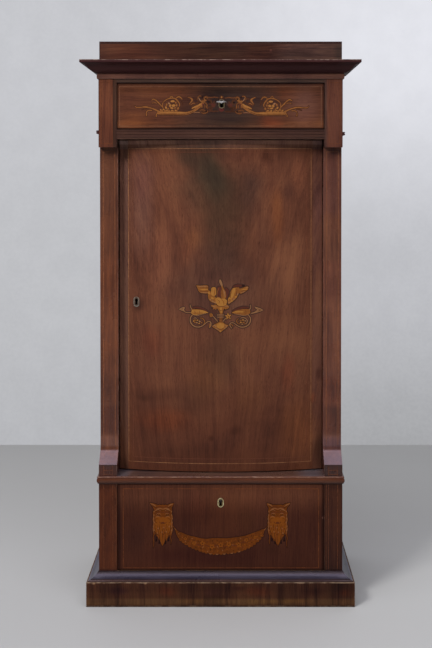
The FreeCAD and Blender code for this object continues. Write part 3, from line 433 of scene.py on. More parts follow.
# Per pilaster, the colour is lifted in some bands and lowered in others down the height (painted light and shade, given
# in picture rows); the band at the top of the sweep is painted bluish-lilac, the reflection of the light above, and the
# band below it darker.
PIL_L = PIL_BANDS + [pil_band(148, 215, 20.0, (0.82, 0.87, 0.98)), pil_band(258, 345, 24.0, (1.36, 1.28, 1.18)), pil_band(345, 378, 16.0, (1.16, 1.06, 0.95)),
                     pil_band(380, 408, 16.0, (0.84, 0.72, 0.64)), pil_band(408, 436, 10.0, (0.64, 0.48, 0.44)), pil_band(438.5, 449.5, 8.0, (1.50, 1.75, 2.3)), pil_band(457.5, 465.5, 8.0, (0.60, 0.58, 0.70))]
PIL_R = PIL_BANDS + [pil_band(148, 215, 20.0, (0.80, 0.79, 1.00)), pil_band(262, 300, 16.0, (1.12, 1.06, 1.12)), pil_band(300, 345, 18.0, (1.46, 1.46, 1.42)), pil_band(345, 380, 16.0, (1.25, 1.14, 1.08)),
                     pil_band(380, 408, 16.0, (1.24, 0.94, 0.76)), pil_band(408, 436, 10.0, (0.76, 0.56, 0.46)), pil_band(438.5, 449.5, 8.0, (1.40, 1.60, 2.2)), pil_band(457.5, 465.5, 8.0, (0.66, 0.64, 0.76))]
# Stile bands: painted shade under the ledge moulding, a darker band near each inner edge, and darker at the foot over
# the base moulding.
STILE_BANDS = [("z", 366.0, 390.0, 5.0, (0.62, 0.6, 0.6), 0.8), ("z", 70.0, 108.0, 3.0, (0.55, 0.5, 0.55), 0.8), ("x", -341.0, -335.5, 1.2, (0.6, 0.6, 0.62), 0.6), ("x", 335.5, 341.0, 1.2, (0.6, 0.6, 0.62), 0.6)]
M = {}
# Door: both edge strips painted lighter and bluer, the left one most, lifting them out of the pilasters' shade; the
# band under the mid rail is painted lighter step by step towards the top (painted light in the rail's shadow); the
# lower door is painted darker (painted shade).
M["door"] = wood("mahogany_door_veneer", A["door"], "Z", contrast=0.95, streak=0.70, fine=1.0, seed=3.1, fan=(0.30, 0.55), figure=0.10, patches=DOOR_PATCHES, bend=0.016, rough=0.34, spec=0.08, coat=0.0, feather=(0.02, 0.74, 1.10, 0.42),
                 shade=[("x", -336.0, -303.0, 1.6, (1.02, 1.30, 1.60), 0.95), ("x", -335.0, -320.0, 5.0, (1.70, 1.65, 1.60), 0.95), ("x", 300.0, 345.0, 4.0, (1.10, 1.25, 1.50), 0.9), ("z", 1457.0, 1466.0, 2.0, (1.12, 1.40, 1.66), 0.9), ("z", 1466.0, 1474.0, 2.0, (1.60, 1.96, 2.20), 0.9), ("z", 1474.0, 1488.0, 3.0, (2.60, 3.60, 4.50), 0.9), ("z", 360.0, 640.0, 120.0, (0.86, 0.80, 0.76), 0.95)])
# Frieze drawer: dark along its ends and its top and bottom edges, dirt in the joints and the painted shade of the gaps;
# its lower part painted lighter and its upper part, under the frieze rail, painted darker (painted light and shade).
M["drawer1"] = wood("mahogany_frieze_veneer", A["drawer1"], "X", contrast=1.2, streak=0.9, fine=1.2, seed=7.7, patches=TOP_PATCHES, rough=0.36, spec=0.15, coat=0.0,
                    shade=[("x", -340.0, -326.5, 2.0, (0.42, 0.42, 0.45), 0.9), ("x", 326.5, 340.0, 2.0, (0.42, 0.42, 0.45), 0.9), ("z", 1661.5, 1675.0, 1.5, (0.40, 0.40, 0.42), 0.9), ("z", 1510.0, 1524.8, 1.5, (0.42, 0.42, 0.45), 0.9), ("z", 1526.0, 1546.0, 8.0, (1.30, 1.30, 1.12), 0.9), ("z", 1636.0, 1660.0, 8.0, (0.86, 0.84, 0.74), 0.9)])
# Base drawer: dark strips at its ends and dark lines at its top and bottom edges, dirt in the joints and the painted
# shade of the gaps and of the ledge moulding above; its upper part painted lighter (painted light).
M["drawer2"] = wood("mahogany_base_veneer", A["drawer2"], "Z", contrast=0.62, streak=0.65, fine=1.9, seed=12.3, patches=LOW_PATCHES, rough=0.38, bend=0.006, spec=0.08, coat=0.0,
                    shade=[("x", -340.0, -321.5, 3.0, (0.36, 0.34, 0.38), 0.9), ("x", 323.5, 340.0, 3.0, (0.36, 0.34, 0.38), 0.9), ("z", 380.3, 390.0, 1.2, (0.45, 0.42, 0.45), 0.9), ("z", 318.0, 380.0, 44.0, (1.95, 2.25, 2.10), 0.9), ("z", 90.0, 108.0, 2.0, (0.40, 0.38, 0.42), 0.9)])
# Pilasters: the pale line on each inner arris is worn wood and a painted highlight; on the right pilaster the sweep is
# painted darker and bluer (painted reflection) and the foot's face darker still.
M["pil_l"] = wood("mahogany_pilaster_left", A["pil_l"], "Z", contrast=1.05, streak=1.0, fine=1.2, seed=17.9, rough=0.27, figure=0.08, spec=0.5, shade=PIL_L, edge_wear_and_highlight=[("x", -333.0, 1.7, 0.75)], tail=srgb(130, 100, 90))
M["pil_r"] = wood("mahogany_pilaster_right", A["pil_r"], "Z", contrast=1.35, streak=1.1, fine=1.2, seed=23.4, rough=0.27, figure=0.08, spec=0.5, shade=PIL_R + [("z", 449.0, 520.0, 14.0, (0.66, 0.68, 0.96), 0.9), ("z", 380.0, 443.0, 0.8, (0.80, 0.84, 0.88), 0.9)], edge_wear_and_highlight=[("x", 333.0, 1.6, 0.5)], tail=srgb(120, 92, 86))
M["block_l"] = wood("mahogany_block_left", A["block_l"], "Z", contrast=1.3, streak=0.9, fine=1.2, seed=29.2, shade=[("x", -344.0, -320.0, 0.8, (0.44, 0.66, 0.80), 0.9), ("x", -345.0, -342.6, 0.6, (0.45, 0.45, 0.45), 0.8), ("x", -395.0, -387.6, 0.8, (0.5, 0.5, 0.6), 0.8)])
M["block_r"] = wood("mahogany_block_right", A["block_r"], "Z", contrast=1.3, streak=0.9, fine=1.2, seed=31.2, shade=[("x", 320.0, 340.0, 4.0, (0.55, 0.80, 1.0), 0.9), ("x", 388.2, 395.0, 0.8, (0.5, 0.5, 0.6), 0.8)])
M["stile_l"] = wood("mahogany_stile_left", A["stile_l"], "Z", contrast=1.5, streak=1.1, fine=1.3, seed=37.0, spec=0.12, shade=STILE_BANDS, edge_wear_and_highlight=[("x", -333.2, 1.6, 0.55)], tail=srgb(128, 84, 56))
M["stile_r"] = wood("mahogany_stile_right", A["stile_r"], "Z", contrast=1.5, streak=1.1, fine=1.3, seed=41.0, spec=0.12, patches=[px_patch(323.8, 518.0, 1.0, 1.5, (5.0, 8.0, 10.0), 1.0, "low")], shade=STILE_BANDS, edge_wear_and_highlight=[("x", 333.2, 1.6, 0.40)], tail=srgb(118, 80, 58))
# Gallery: its right part painted lighter (painted light), with dark lines along the top edge and at the left end.
M["attic"] = wood("mahogany_attic", A["gallery"], "X", contrast=1.5, streak=1.1, fine=1.2, seed=43.0, patches=ATTIC_PATCHES, spec=0.12, coat=0.0,
                   shade=[("z", 1797.6, 1806.0, 0.9, (0.45, 0.45, 0.48), 0.9), ("x", -395.0, -385.6, 0.9, (0.55, 0.52, 0.55), 0.9), ("x", 190.0, 420.0, 40.0, (2.00, 2.75, 2.90), 0.9)])
M["attic_side"] = wood("mahogany_attic_side", A["gallery"], "Y", contrast=0.8, seed=47.0)
M["lid"] = wood("mahogany_lid", A["gallery"], "X", contrast=0.7, seed=51.0, dust=0.15, rough=0.5, spec=0.15, coat=0.0, shade=[("y", -170.0, -160.0, 2.0, (0.49, 0.54, 0.64), 0.9)])
# Cornice: the pale line along the top edge of its fillet is worn wood and a painted highlight.
M["cornice"] = wood("mahogany_cornice", A["cornice"], "X", contrast=0.6, streak=0.7, seed=53.0, edge_wear_and_highlight=[("z", 1735.5, 1.35, 1.3)], tail=srgb(156, 134, 122), rough=0.40, spec=0.10, coat=0.0)
M["cornice_side"] = wood("mahogany_cornice_side", A["cornice"], "Y", contrast=0.6, seed=57.0, edge_wear_and_highlight=[("z", 1735.5, 1.3, 0.6)], rough=0.42, spec=0.15, coat=0.0)
M["neck"] = wood("mahogany_neck", A["neck"], "X", contrast=0.9, streak=0.8, seed=59.0, figure=0.25)
# Frieze rail and mid rail: their edges next to the frieze drawer painted dark, the painted shade of the drawer's gaps;
# the mid rail's lower edge has a pale worn line.
M["rail"] = wood("mahogany_rail", A["rail"], "X", contrast=0.7, streak=1.0, seed=61.0, shade=[("z", 1660.0, 1669.5, 1.2, (0.3, 0.3, 0.32), 0.95)])
M["midrail"] = wood("mahogany_mid_rail", A["midrail"], "X", contrast=0.7, streak=1.1, fine=1.2, seed=67.0, edge_wear_and_highlight=[("z", 1488.9, 1.0, 0.35)], shade=[("z", 1517.5, 1530.0, 1.2, (0.3, 0.3, 0.32), 0.9)])
# Ledge top: painted bluish-grey towards both ends, the reflection of the cool light above, with a darker stretch left
# of the middle.
M["ledge"] = wood("mahogany_ledge", A["ledge"], "X", contrast=1.2, fine=1.3, seed=71.0, patches=[(-318.0, 407.0, 34.0, 30.0, (1.15, 1.75, 2.6), 1.0), (296.0, 407.0, 62.0, 30.0, (1.0, 1.6, 2.4), 1.0), (-250.0, 407.0, 60.0, 30.0, (0.7, 0.8, 0.95), 0.8)], rough=0.28, spec=0.5)
# Ledge moulding: a chip near the middle; the pale line on its top front edge is worn wood and a painted highlight; its
# lower edge painted dark, painted shade over the base drawer.
M["ledge_mould"] = wood("mahogany_ledge_moulding", A["ledge_mould"], "X", contrast=0.8, seed=73.0, spec=0.3, patches=[(on_plane(254.0, 475.0, -10.0)[0], 406.5, 9.0, 5.0, (1.9, 3.2, 5.0), 1.0)], edge_wear_and_highlight=[("z", 405.4, 1.9, 1.0)], shade=[("z", 380.0, 387.2, 1.0, (0.35, 0.33, 0.35), 0.95)])
# Base moulding: its sloping face painted bluish, the reflection of the cool light above; its lip and its top edge
# painted dark, painted shade.
M["basemould"] = wood("mahogany_base_moulding", A["basemould"], "X", contrast=1.3, fine=1.3, seed=79.0, rough=0.28, spec=0.34, coat=0.0, edge_wear_and_highlight=[("z", 84.6, 0.9, 0.30)], tail=srgb(110, 80, 78), shade=[("z", 83.5, 95.0, 2.0, (0.42, 0.84, 1.80), 0.92), ("z", 70.0, 78.3, 0.5, (0.22, 0.2, 0.24), 0.95), ("z", 95.2, 120.0, 0.5, (0.2, 0.2, 0.25), 0.95)])
# Base moulding returns: a bluish base colour, the painted reflection of the cool light above, with dark lines painted
# at the steps of the profile (painted shade).
M["basemould_side"] = wood("mahogany_base_moulding_side", (0.0480, 0.0340, 0.0700), "Y", contrast=1.2, seed=83.0, rough=0.34, spec=0.85, coat=0.0, shade=[("z", 70.0, 80.2, 0.8, (0.3, 0.25, 0.28), 0.95), ("z", 84.0, 86.4, 0.6, (0.25, 0.22, 0.25), 0.9), ("z", 94.0, 97.0, 0.8, (0.3, 0.28, 0.3), 0.8)])
M["plinth"] = wood("mahogany_plinth", A["plinth"], "Z", contrast=1.9, streak=1.3, fine=1.6, seed=89.0, crossband=0.55, rough=0.50, coat=0.0, spec=0.12,
                   edge_wear_and_highlight=[("z", 77.2, 2.0, 1.0), ("z", 77.2, 2.0, 0.7), ("x", 426.6, 2.0, 0.8), ("x", -426.6, 1.4, 0.9), ("z", 3.0, 2.0, 0.6)], tail=srgb(162, 136, 112), patches=PLINTH_PATCHES,
                   shade=[("z", 7.0, 27.0, 5.0, (1.50, 1.90, 1.70), 1.0), ("z", -5.0, 5.5, 1.2, (0.42, 0.42, 0.42), 0.9), ("z", 48.0, 76.0, 6.0, (0.80, 0.76, 0.80), 0.8)])
M["plinth_side"] = wood("mahogany_plinth_side", A["plinth"], "Y", contrast=0.85, seed=97.0, rough=0.50, coat=0.0, spec=0.12, edge_wear_and_highlight=[("z", 76.4, 2.2, 0.9)], tail=srgb(160, 130, 104), shade=[("z", 8.0, 27.0, 5.0, (1.5, 1.55, 1.3), 0.8)])
M["side"] = wood("mahogany_side", A["side"], "Z", contrast=0.9, seed=101.0, figure=0.12, rough=0.36)
M["case_top"] = wood("mahogany_case_top", A["side"], "X", contrast=0.7, seed=103.0, dust=0.35, rough=0.5, coat=0.0)
M["pine_z"] = pine("pine_upright", srgb(140, 108, 78), "Z", 1.0)
M["pine_back"] = pine("pine_back", srgb(132, 104, 76), "Z", 3.0, dirt=0.65, seams=(-123.8, 123.8))
M["pine_x"] = pine("pine_level", srgb(148, 116, 84), "X", 5.0, dirt=0.35)
M["pine_y"] = pine("pine_deep", srgb(138, 108, 78), "Y", 9.0)
M["oak_y"] = pine("oak_deep", srgb(158, 116, 72), "Y", 13.0, rings=0.6, dirt=0.3)
M["oak_x"] = pine("oak_level", srgb(160, 118, 76), "X", 17.0, rings=0.6, dirt=0.3)
M["iron"] = metal("iron_lock", srgb(122, 118, 114), srgb(46, 40, 37), 0.42, 0.46, 40.0)
# Escutcheon plates are painted darker inside their rims (painted shade); the key is painted darker above the middle of
# its bow (painted shade), so its bright reflection shows only as a thin bar below.
M["iron_dark"] = metal("iron_escutcheon", srgb(150, 142, 128), srgb(84, 74, 64), 0.45, 0.44, 120.0, metallic=0.6, rim=(-275.6, 961.6, 9.9, 16.6, 3.2), inner=srgb(104, 84, 68))
M["steel"] = metal("steel_key", srgb(248, 248, 246), srgb(180, 178, 174), 0.24, 0.36, 90.0, metallic=0.66, painted_shade_above=(1605.2, srgb(92, 82, 76)))
M["brass"] = metal("brass_bright", srgb(222, 204, 156), srgb(150, 128, 96), 0.30, 0.44, 110.0, rim=(3.0, 1600.6, 9.8, 15.0, 2.9), inner=srgb(62, 54, 30))
M["brass_ring"] = metal("brass_lower_escutcheon", srgb(226, 214, 164), srgb(150, 136, 96), 0.34, 0.42, 160.0, metallic=0.8, rim=(0.0, 322.1, 9.8, 15.0, 2.8), inner=srgb(112, 92, 58))
M["brass_old"] = metal("brass_old", srgb(150, 140, 104), srgb(66, 56, 38), 0.42, 0.48, 160.0)

USE = {
    "door_panel": "door", "top_drawer_front": "drawer1", "lower_drawer_front": "drawer2", "pilaster_left": "pil_l", "pilaster_right": "pil_r",
    "frieze_block_left": "block_l", "frieze_block_right": "block_r", "lower_stile_left": "stile_l", "lower_stile_right": "stile_r",
    "attic_front": "attic", "attic_sides": "attic_side", "attic_back": "pine_x", "attic_lid": "lid", "cornice_front": "cornice", "cornice_sides": "cornice_side",
    "neck_moulding": "neck", "frieze_rail": "rail", "mid_rail": "midrail", "ledge_board": "ledge", "ledge_moulding": "ledge_mould",
    "base_moulding_front": "basemould", "base_moulding_sides": "basemould_side", "plinth_front": "plinth", "plinth_sides": "plinth_side", "plinth_back": "pine_x",
    "plinth_blocks": "pine_z", "side_panel_left": "side", "side_panel_right": "side", "top_board": "case_top", "side_beads": "cornice_side",
    "back_boards": "pine_back", "base_board": "pine_x", "dust_board": "pine_x", "shelf_lower": "pine_x", "shelf_upper": "pine_x", "shelf_cleats": "pine_y", "drawer_guides": "pine_y",
    "top_drawer_sides": "oak_y", "top_drawer_back": "oak_x", "top_drawer_bottom": "pine_x", "lower_drawer_sides": "oak_y", "lower_drawer_back": "oak_x", "lower_drawer_bottom": "pine_x",
    "frame_pivots": "iron", "strike_plates": "brass_old", "frame_screws": "iron", "door_pivots": "iron", "door_lock": "iron", "door_screws": "iron", "door_bolt": "brass_old",
    "top_drawer_lock": "iron", "top_drawer_bolt": "brass_old", "top_drawer_screws": "iron", "lower_drawer_lock": "iron", "lower_drawer_bolt": "brass_old", "lower_drawer_screws": "iron",
    "door_escutcheon": "iron_dark", "top_drawer_escutcheon": "brass", "lower_drawer_escutcheon": "brass_ring", "key": "steel",
}
for node_name, obj in NODES.items():
    mat = M[USE[node_name]]
    if not obj.material_slots:
        obj.data.materials.append(mat)
    for s in obj.material_slots:
        s.material = mat


# ------------------------------------------------------------------ marquetry and stringing
def tone(name, base, deep, rough=0.36, vary=0.5, grain=(1.0, 1.0, 0.2)):
    """Satinwood and holly inlay: fine grain, scorched shading, a little dirt."""
    m = Mat(name)
    g = m.noise(m.scaled(m.p(), grain), 700.0, 3.0, 0.6)
    shade = m.noise(m.p(), 120.0, 3.0, 0.6)
    wide = m.noise(m.p(), 26.0, 2.0, 0.5)
    f = m.math("MULTIPLY", m.span(m.math("ADD", m.math("MULTIPLY", shade, 0.6), m.math("MULTIPLY", wide, 0.4)), 0.40, 0.66), vary)
    col = m.mix(f, base, deep)
    col = m.mix(m.span(g, 0.35, 0.75, 0.0, 0.30), col, times(deep, 0.8))
    m.set(Base_Color=col, Roughness=m.line(shade, 0.3, 0.7, rough - 0.04, rough + 0.10))
    m.put(m.b.inputs["Specular IOR Level"], 0.08)
    m.bump(g, 0.15, 0.0003)
    return m.m


TONES = {}


def tone_set(key, light, mid, deep, line, pale, red, round_it):
    TONES[key] = {
        "N": tone("inlay_brown_" + key, tuple((a + b) / 2 for a, b in zip(mid, deep)), deep, vary=0.6),
        "H": tone("inlay_surround_" + key, round_it, times(round_it, 0.85), vary=0.6),
        "L": tone("inlay_light_" + key, light, mid), "M": tone("inlay_mid_" + key, mid, deep), "D": tone("inlay_deep_" + key, deep, line),
        "K": tone("inlay_shadow_" + key, line, times(line, 0.8), vary=0.3), "W": tone("inlay_pale_" + key, pale, times(pale, 0.72), vary=0.45), "R": tone("inlay_red_" + key, red, times(red, 0.75), vary=0.4),
    }


tone_set("frieze", srgb(160, 108, 56), srgb(142, 90, 48), srgb(88, 52, 32), srgb(42, 26, 22), srgb(152, 108, 76), srgb(92, 44, 40), srgb(84, 50, 38))
tone_set("door", srgb(172, 118, 56), srgb(148, 92, 42), srgb(104, 58, 34), srgb(50, 31, 26), srgb(150, 106, 72), srgb(92, 50, 40), srgb(78, 53, 44))
tone_set("base", srgb(138, 74, 18), srgb(118, 60, 16), srgb(78, 38, 14), srgb(34, 17, 12), srgb(142, 90, 52), srgb(98, 46, 24), srgb(56, 30, 22))
STRING = {k: tone("stringing_" + k, c, d, vary=0.9, grain=(0.3, 1.0, 0.3)) for k, c, d in (
    ("frieze", srgb(130, 92, 70), srgb(90, 60, 48)), ("soft", srgb(118, 68, 48), srgb(98, 58, 44)), ("door", srgb(170, 120, 82), srgb(116, 74, 50)), ("base", srgb(132, 74, 38), srgb(84, 44, 26)),
    ("pilaster", srgb(156, 100, 68), srgb(116, 70, 50)), ("stile", srgb(120, 70, 42), srgb(70, 38, 26)))}


def curve_through(pts, step, closed=False):
    """Points along a Catmull-Rom curve through pts; every point carries its extra values (widths) along."""
    n = len(pts)
    out = []
    count = n if closed else n - 1
    for i in range(count):
        p1, p2 = pts[i % n], pts[(i + 1) % n]
        p0 = pts[(i - 1) % n] if closed or i > 0 else tuple(2 * a - b for a, b in zip(p1, p2))
        p3 = pts[(i + 2) % n] if closed or i + 2 < n else tuple(2 * b - a for a, b in zip(p1, p2))
        k = max(1, int(math.hypot(p2[0] - p1[0], p2[1] - p1[1]) / step))
        for j in range(k):
            t = j / k
            out.append(tuple(0.5 * (2 * b + (c - a) * t + (2 * a - 5 * b + 4 * c - d) * t * t + (3 * b - a - 3 * c + d) * t ** 3) for a, b, c, d in zip(p0, p1, p2, p3)))
    if not closed:
        out.append(tuple(pts[-1]))
    return out


class Inlay:
    """Thin inlay on one face. Its pieces are drawn in picture points, laid on the face, cut into one another, and raised by a hair."""

    def __init__(self, name, body, tones, place, depth, proud=0.14, curved=False, halo=0.0, edge_k=1.0):
        self.name, self.body, self.tones, self.place, self.depth, self.proud, self.curved = name, body, tones, place, depth, proud, curved
        self.halo, self.edge_k = halo, edge_k
        self.faces = []

    def lay(self, pts):
        return [self.place(*p[:2]) + tuple(p[2:]) for p in pts]

    def face(self, poly, kind, prio):
        area = sum(a[0] * b[1] - b[0] * a[1] for a, b in zip(poly, poly[1:] + poly[:1]))
        if abs(area) < 0.02:
            return
        self.faces.append((poly, kind, prio))

    def ribbon(self, line, kind, prio, extra=0.0):
        """A strip along a line of (x, z, width), widened by extra on each side."""
        n = len(line)
        left, right = [], []
        for i in range(n):
            a, b = line[max(i - 1, 0)], line[min(i + 1, n - 1)]
            dx, dz = b[0] - a[0], b[1] - a[1]
            k = math.hypot(dx, dz) or 1.0
            h = max(line[i][2] / 2.0 + extra, 0.12)
            e = extra if i == n - 1 else -extra if i == 0 else 0.0
            cx, cz = line[i][0] + dx / k * e, line[i][1] + dz / k * e
            left.append((cx - dz / k * h, cz + dx / k * h))
            right.append((cx + dz / k * h, cz - dx / k * h))
        self.face(left + right[::-1], kind, prio)

    def stroke(self, kind, pts, w=1.0, prio=10, edge=0.8, step=1.7):
        """A tapering line. w is one width or several along it, in picture points."""
        ws = w if isinstance(w, (list, tuple)) else (w,) * len(pts)
        if len(ws) != len(pts):
            ws = [ws[min(len(ws) - 1, int(i * (len(ws) - 1) / max(1, len(pts) - 1) + 0.5))] for i in range(len(pts))]
        line = curve_through([p[:2] + (q * 3.2,) for p, q in zip(self.lay(pts), ws)], step)
        if edge:
            self.ribbon(line, "K", 0, edge * self.edge_k)
            if self.halo:
                self.ribbon(line, "H", -1, self.halo)
        self.ribbon(line, kind, prio)

    def fill(self, kind, pts, prio=10, edge=0.8, smooth=True, step=2.0):
        poly = self.lay(pts)
        if smooth:
            poly = curve_through(poly, step, True)
        poly = [tuple(p[:2]) for p in poly]
        self.face(poly, kind, prio)
        if edge:
            way = 1.0 if sum(a[0] * b[1] - b[0] * a[1] for a, b in zip(poly, poly[1:] + poly[:1])) > 0 else -1.0
            for extra, tint, level in ((edge * self.edge_k, "K", 0), (self.halo, "H", -1)):
                wide = []
                for p, q, r in zip(poly[-1:] + poly[:-1], poly, poly[1:] + poly[:1]):
                    dx, dz = r[0] - p[0], r[1] - p[1]
                    k = (math.hypot(dx, dz) or 1.0) * way
                    wide.append((q[0] + dz / k * extra, q[1] - dx / k * extra))
                if extra:
                    self.face(wide, tint, level)

    def oval(self, kind, u, v, ru, rv, prio=10, edge=0.6, turn=0.0, count=14):
        c, s = math.cos(math.radians(turn)), math.sin(math.radians(turn))
        pts = []
        for i in range(count):
            a = 2 * math.pi * i / count
            p, q = ru * math.cos(a), rv * math.sin(a)
            pts.append((u + p * c - q * s, v + p * s + q * c))
        self.fill(kind, pts, prio, edge, smooth=False)

    def ring(self, kind, u, v, ru, rv, a0, a1, w, prio=10, edge=0.7, count=18):
        """An arc about (u, v) from a0 to a1 degrees, 0 to the right and 90 upwards."""
        pts = []
        for i in range(count + 1):
            a = math.radians(a0 + (a1 - a0) * i / count)
            pts.append((u + ru * math.cos(a), v - rv * math.sin(a)))
        self.stroke(kind, pts, w, prio, edge, step=3.0)

    def flower(self, kind, u, v, r, petals=5, core="D", prio=12, edge=0.6, start=90.0):
        for i in range(petals):
            a = math.radians(start + 360.0 * i / petals)
            self.oval(kind, u + 0.58 * r * math.cos(a), v - 0.58 * r * math.sin(a), 0.46 * r, 0.34 * r, prio, edge, turn=-math.degrees(a), count=10)
        self.oval(core, u, v, 0.26 * r, 0.26 * r, prio + 1, 0, count=8)

    def build(self):
        co, lines, index = [], set(), {}
        for poly, _, _ in self.faces:
            ids = []
            for p in poly:
                key = (round(p[0], 2), round(p[1], 2))
                if key not in index:
                    index[key] = len(co)
                    co.append(Vector(key))
                ids.append(index[key])
            for i, j in zip(ids, ids[1:] + ids[:1]):
                if i != j and (j, i) not in lines:
                    lines.add((i, j))
        if self.curved:
            xs, zs = [c[0] for c in co], [c[1] for c in co]
            gx = math.floor(min(xs) / 6.0) * 6.0
            while gx < max(xs):
                gz = math.floor(min(zs) / 6.0) * 6.0
                while gz < max(zs):
                    co.append(Vector((gx + 0.137, gz + 0.211)))
                    gz += 6.0
                gx += 6.0
        vs, _, tris, _, _, _ = delaunay_2d_cdt(co, sorted(lines), [], 0, 0.004)
        cells = {}
        for i, (poly, _, _) in enumerate(self.faces):
            x0, x1 = min(p[0] for p in poly), max(p[0] for p in poly)
            z0, z1 = min(p[1] for p in poly), max(p[1] for p in poly)
            for gx in range(int(x0 // 6), int(x1 // 6) + 1):
                for gz in range(int(z0 // 6), int(z1 // 6) + 1):
                    cells.setdefault((gx, gz), []).append((i, x0, x1, z0, z1))

        def inside(x, z, poly):
            turns = 0
            for (ax, az), (bx, bz) in zip(poly, poly[1:] + poly[:1]):
                if (az <= z) != (bz <= z):
                    side = (bx - ax) * (z - az) - (x - ax) * (bz - az)
                    if az <= z and side > 0:
                        turns += 1
                    elif az > z and side < 0:
                        turns -= 1
            return turns != 0

        kinds = sorted(self.tones)
        top, used = [], {}
        for tri in tris:
            a, b, c = (vs[i] for i in tri)
            if (b - a).cross(c - a) < 1e-4:
                continue
            x, z = (a[0] + b[0] + c[0]) / 3.0, (a[1] + b[1] + c[1]) / 3.0
            best = None
            for i, x0, x1, z0, z1 in cells.get((int(x // 6), int(z // 6)), ()):
                if x0 <= x <= x1 and z0 <= z <= z1 and (best is None or self.faces[i][2] > self.faces[best][2]) and inside(x, z, self.faces[i][0]):
                    best = i
            if best is not None:
                top.append((tuple(tri), kinds.index(self.faces[best][1])))
        # corners that only touch at a point get a point each, so the shell stays closed and simple
        boss = list(range(3 * len(top)))

        def find(i):
            while boss[i] != i:
                boss[i] = boss[boss[i]]
                i = boss[i]
            return i

        edge_at = {}
        for t, (tri, _) in enumerate(top):
            for c in range(3):
                a, b = tri[c], tri[(c + 1) % 3]
                if (b, a) in edge_at:
                    q, qc = edge_at[(b, a)]
                    boss[find(3 * t + c)] = find(3 * q + (qc + 1) % 3)
                    boss[find(3 * t + (c + 1) % 3)] = find(3 * q + qc)
                edge_at[(a, b)] = (t, c)
        corner = {}
        for t, (tri, _) in enumerate(top):
            for c in range(3):
                used.setdefault((find(3 * t + c)), len(used))
                corner[find(3 * t + c)] = tri[c]
        verts, n = [], len(used)
        order = sorted(used, key=used.get)
        for raise_by in (self.proud, -0.30):
            for i in order:
                x, z = vs[corner[i]]
                verts.append((x / 1000.0, (self.depth(x) - raise_by - D_MID) / 1000.0, z / 1000.0))
        out, slots, seen = [], [], {}
        for r, (tri, k) in enumerate(top):
            t = [used[find(3 * r + c)] for c in range(3)]
            out.append(t)
            slots.append(k)
            out.append([t[2] + n, t[1] + n, t[0] + n])
            slots.append(k)
            for a, b in zip(t, t[1:] + t[:1]):
                seen[(a, b)] = k
        for (a, b), k in seen.items():
            if (b, a) not in seen:
                out.append([b, a, a + n, b + n])
                slots.append(k)
        me = bpy.data.meshes.new(self.name)
        me.from_pydata(verts, [], out)
        for k in kinds:
            me.materials.append(self.tones[k])
        me.polygons.foreach_set("material_index", slots)
        me.update()
        ob = bpy.data.objects.new(self.name, me)
        scene.collection.objects.link(ob)
        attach(ob, self.body)
        return ob


def mirror_u(pts, c, dv=0.0):
    return [(2 * c - p[0], p[1] + dv) + tuple(p[2:]) for p in pts]


def both(inlay, c, dv=0.0):
    """Calls a drawing function on the left, then mirrored about u = c."""

    class Side:
        def __init__(self, flip):
            self.flip = flip

        def m(self, pts):
            return mirror_u(pts, c, dv) if self.flip else pts

        def stroke(self, kind, pts, *a, **k):
            inlay.stroke(kind, self.m(pts), *a, **k)

        def fill(self, kind, pts, *a, **k):
            inlay.fill(kind, self.m(pts), *a, **k)

        def oval(self, kind, u, v, ru, rv, *a, turn=0.0, **k):
            inlay.oval(kind, 2 * c - u if self.flip else u, v + (dv if self.flip else 0), ru, rv, *a, turn=-turn if self.flip else turn, **k)

        def ring(self, kind, u, v, ru, rv, a0, a1, *a, **k):
            if self.flip:
                inlay.ring(kind, 2 * c - u, v + dv, ru, rv, 180 - a0, 180 - a1, *a, **k)
            else:
                inlay.ring(kind, u, v, ru, rv, a0, a1, *a, **k)

        def flower(self, kind, u, v, r, **k):
            inlay.flower(kind, 2 * c - u if self.flip else u, v + (dv if self.flip else 0), r, **k)

    return [Side(False), Side(True)]


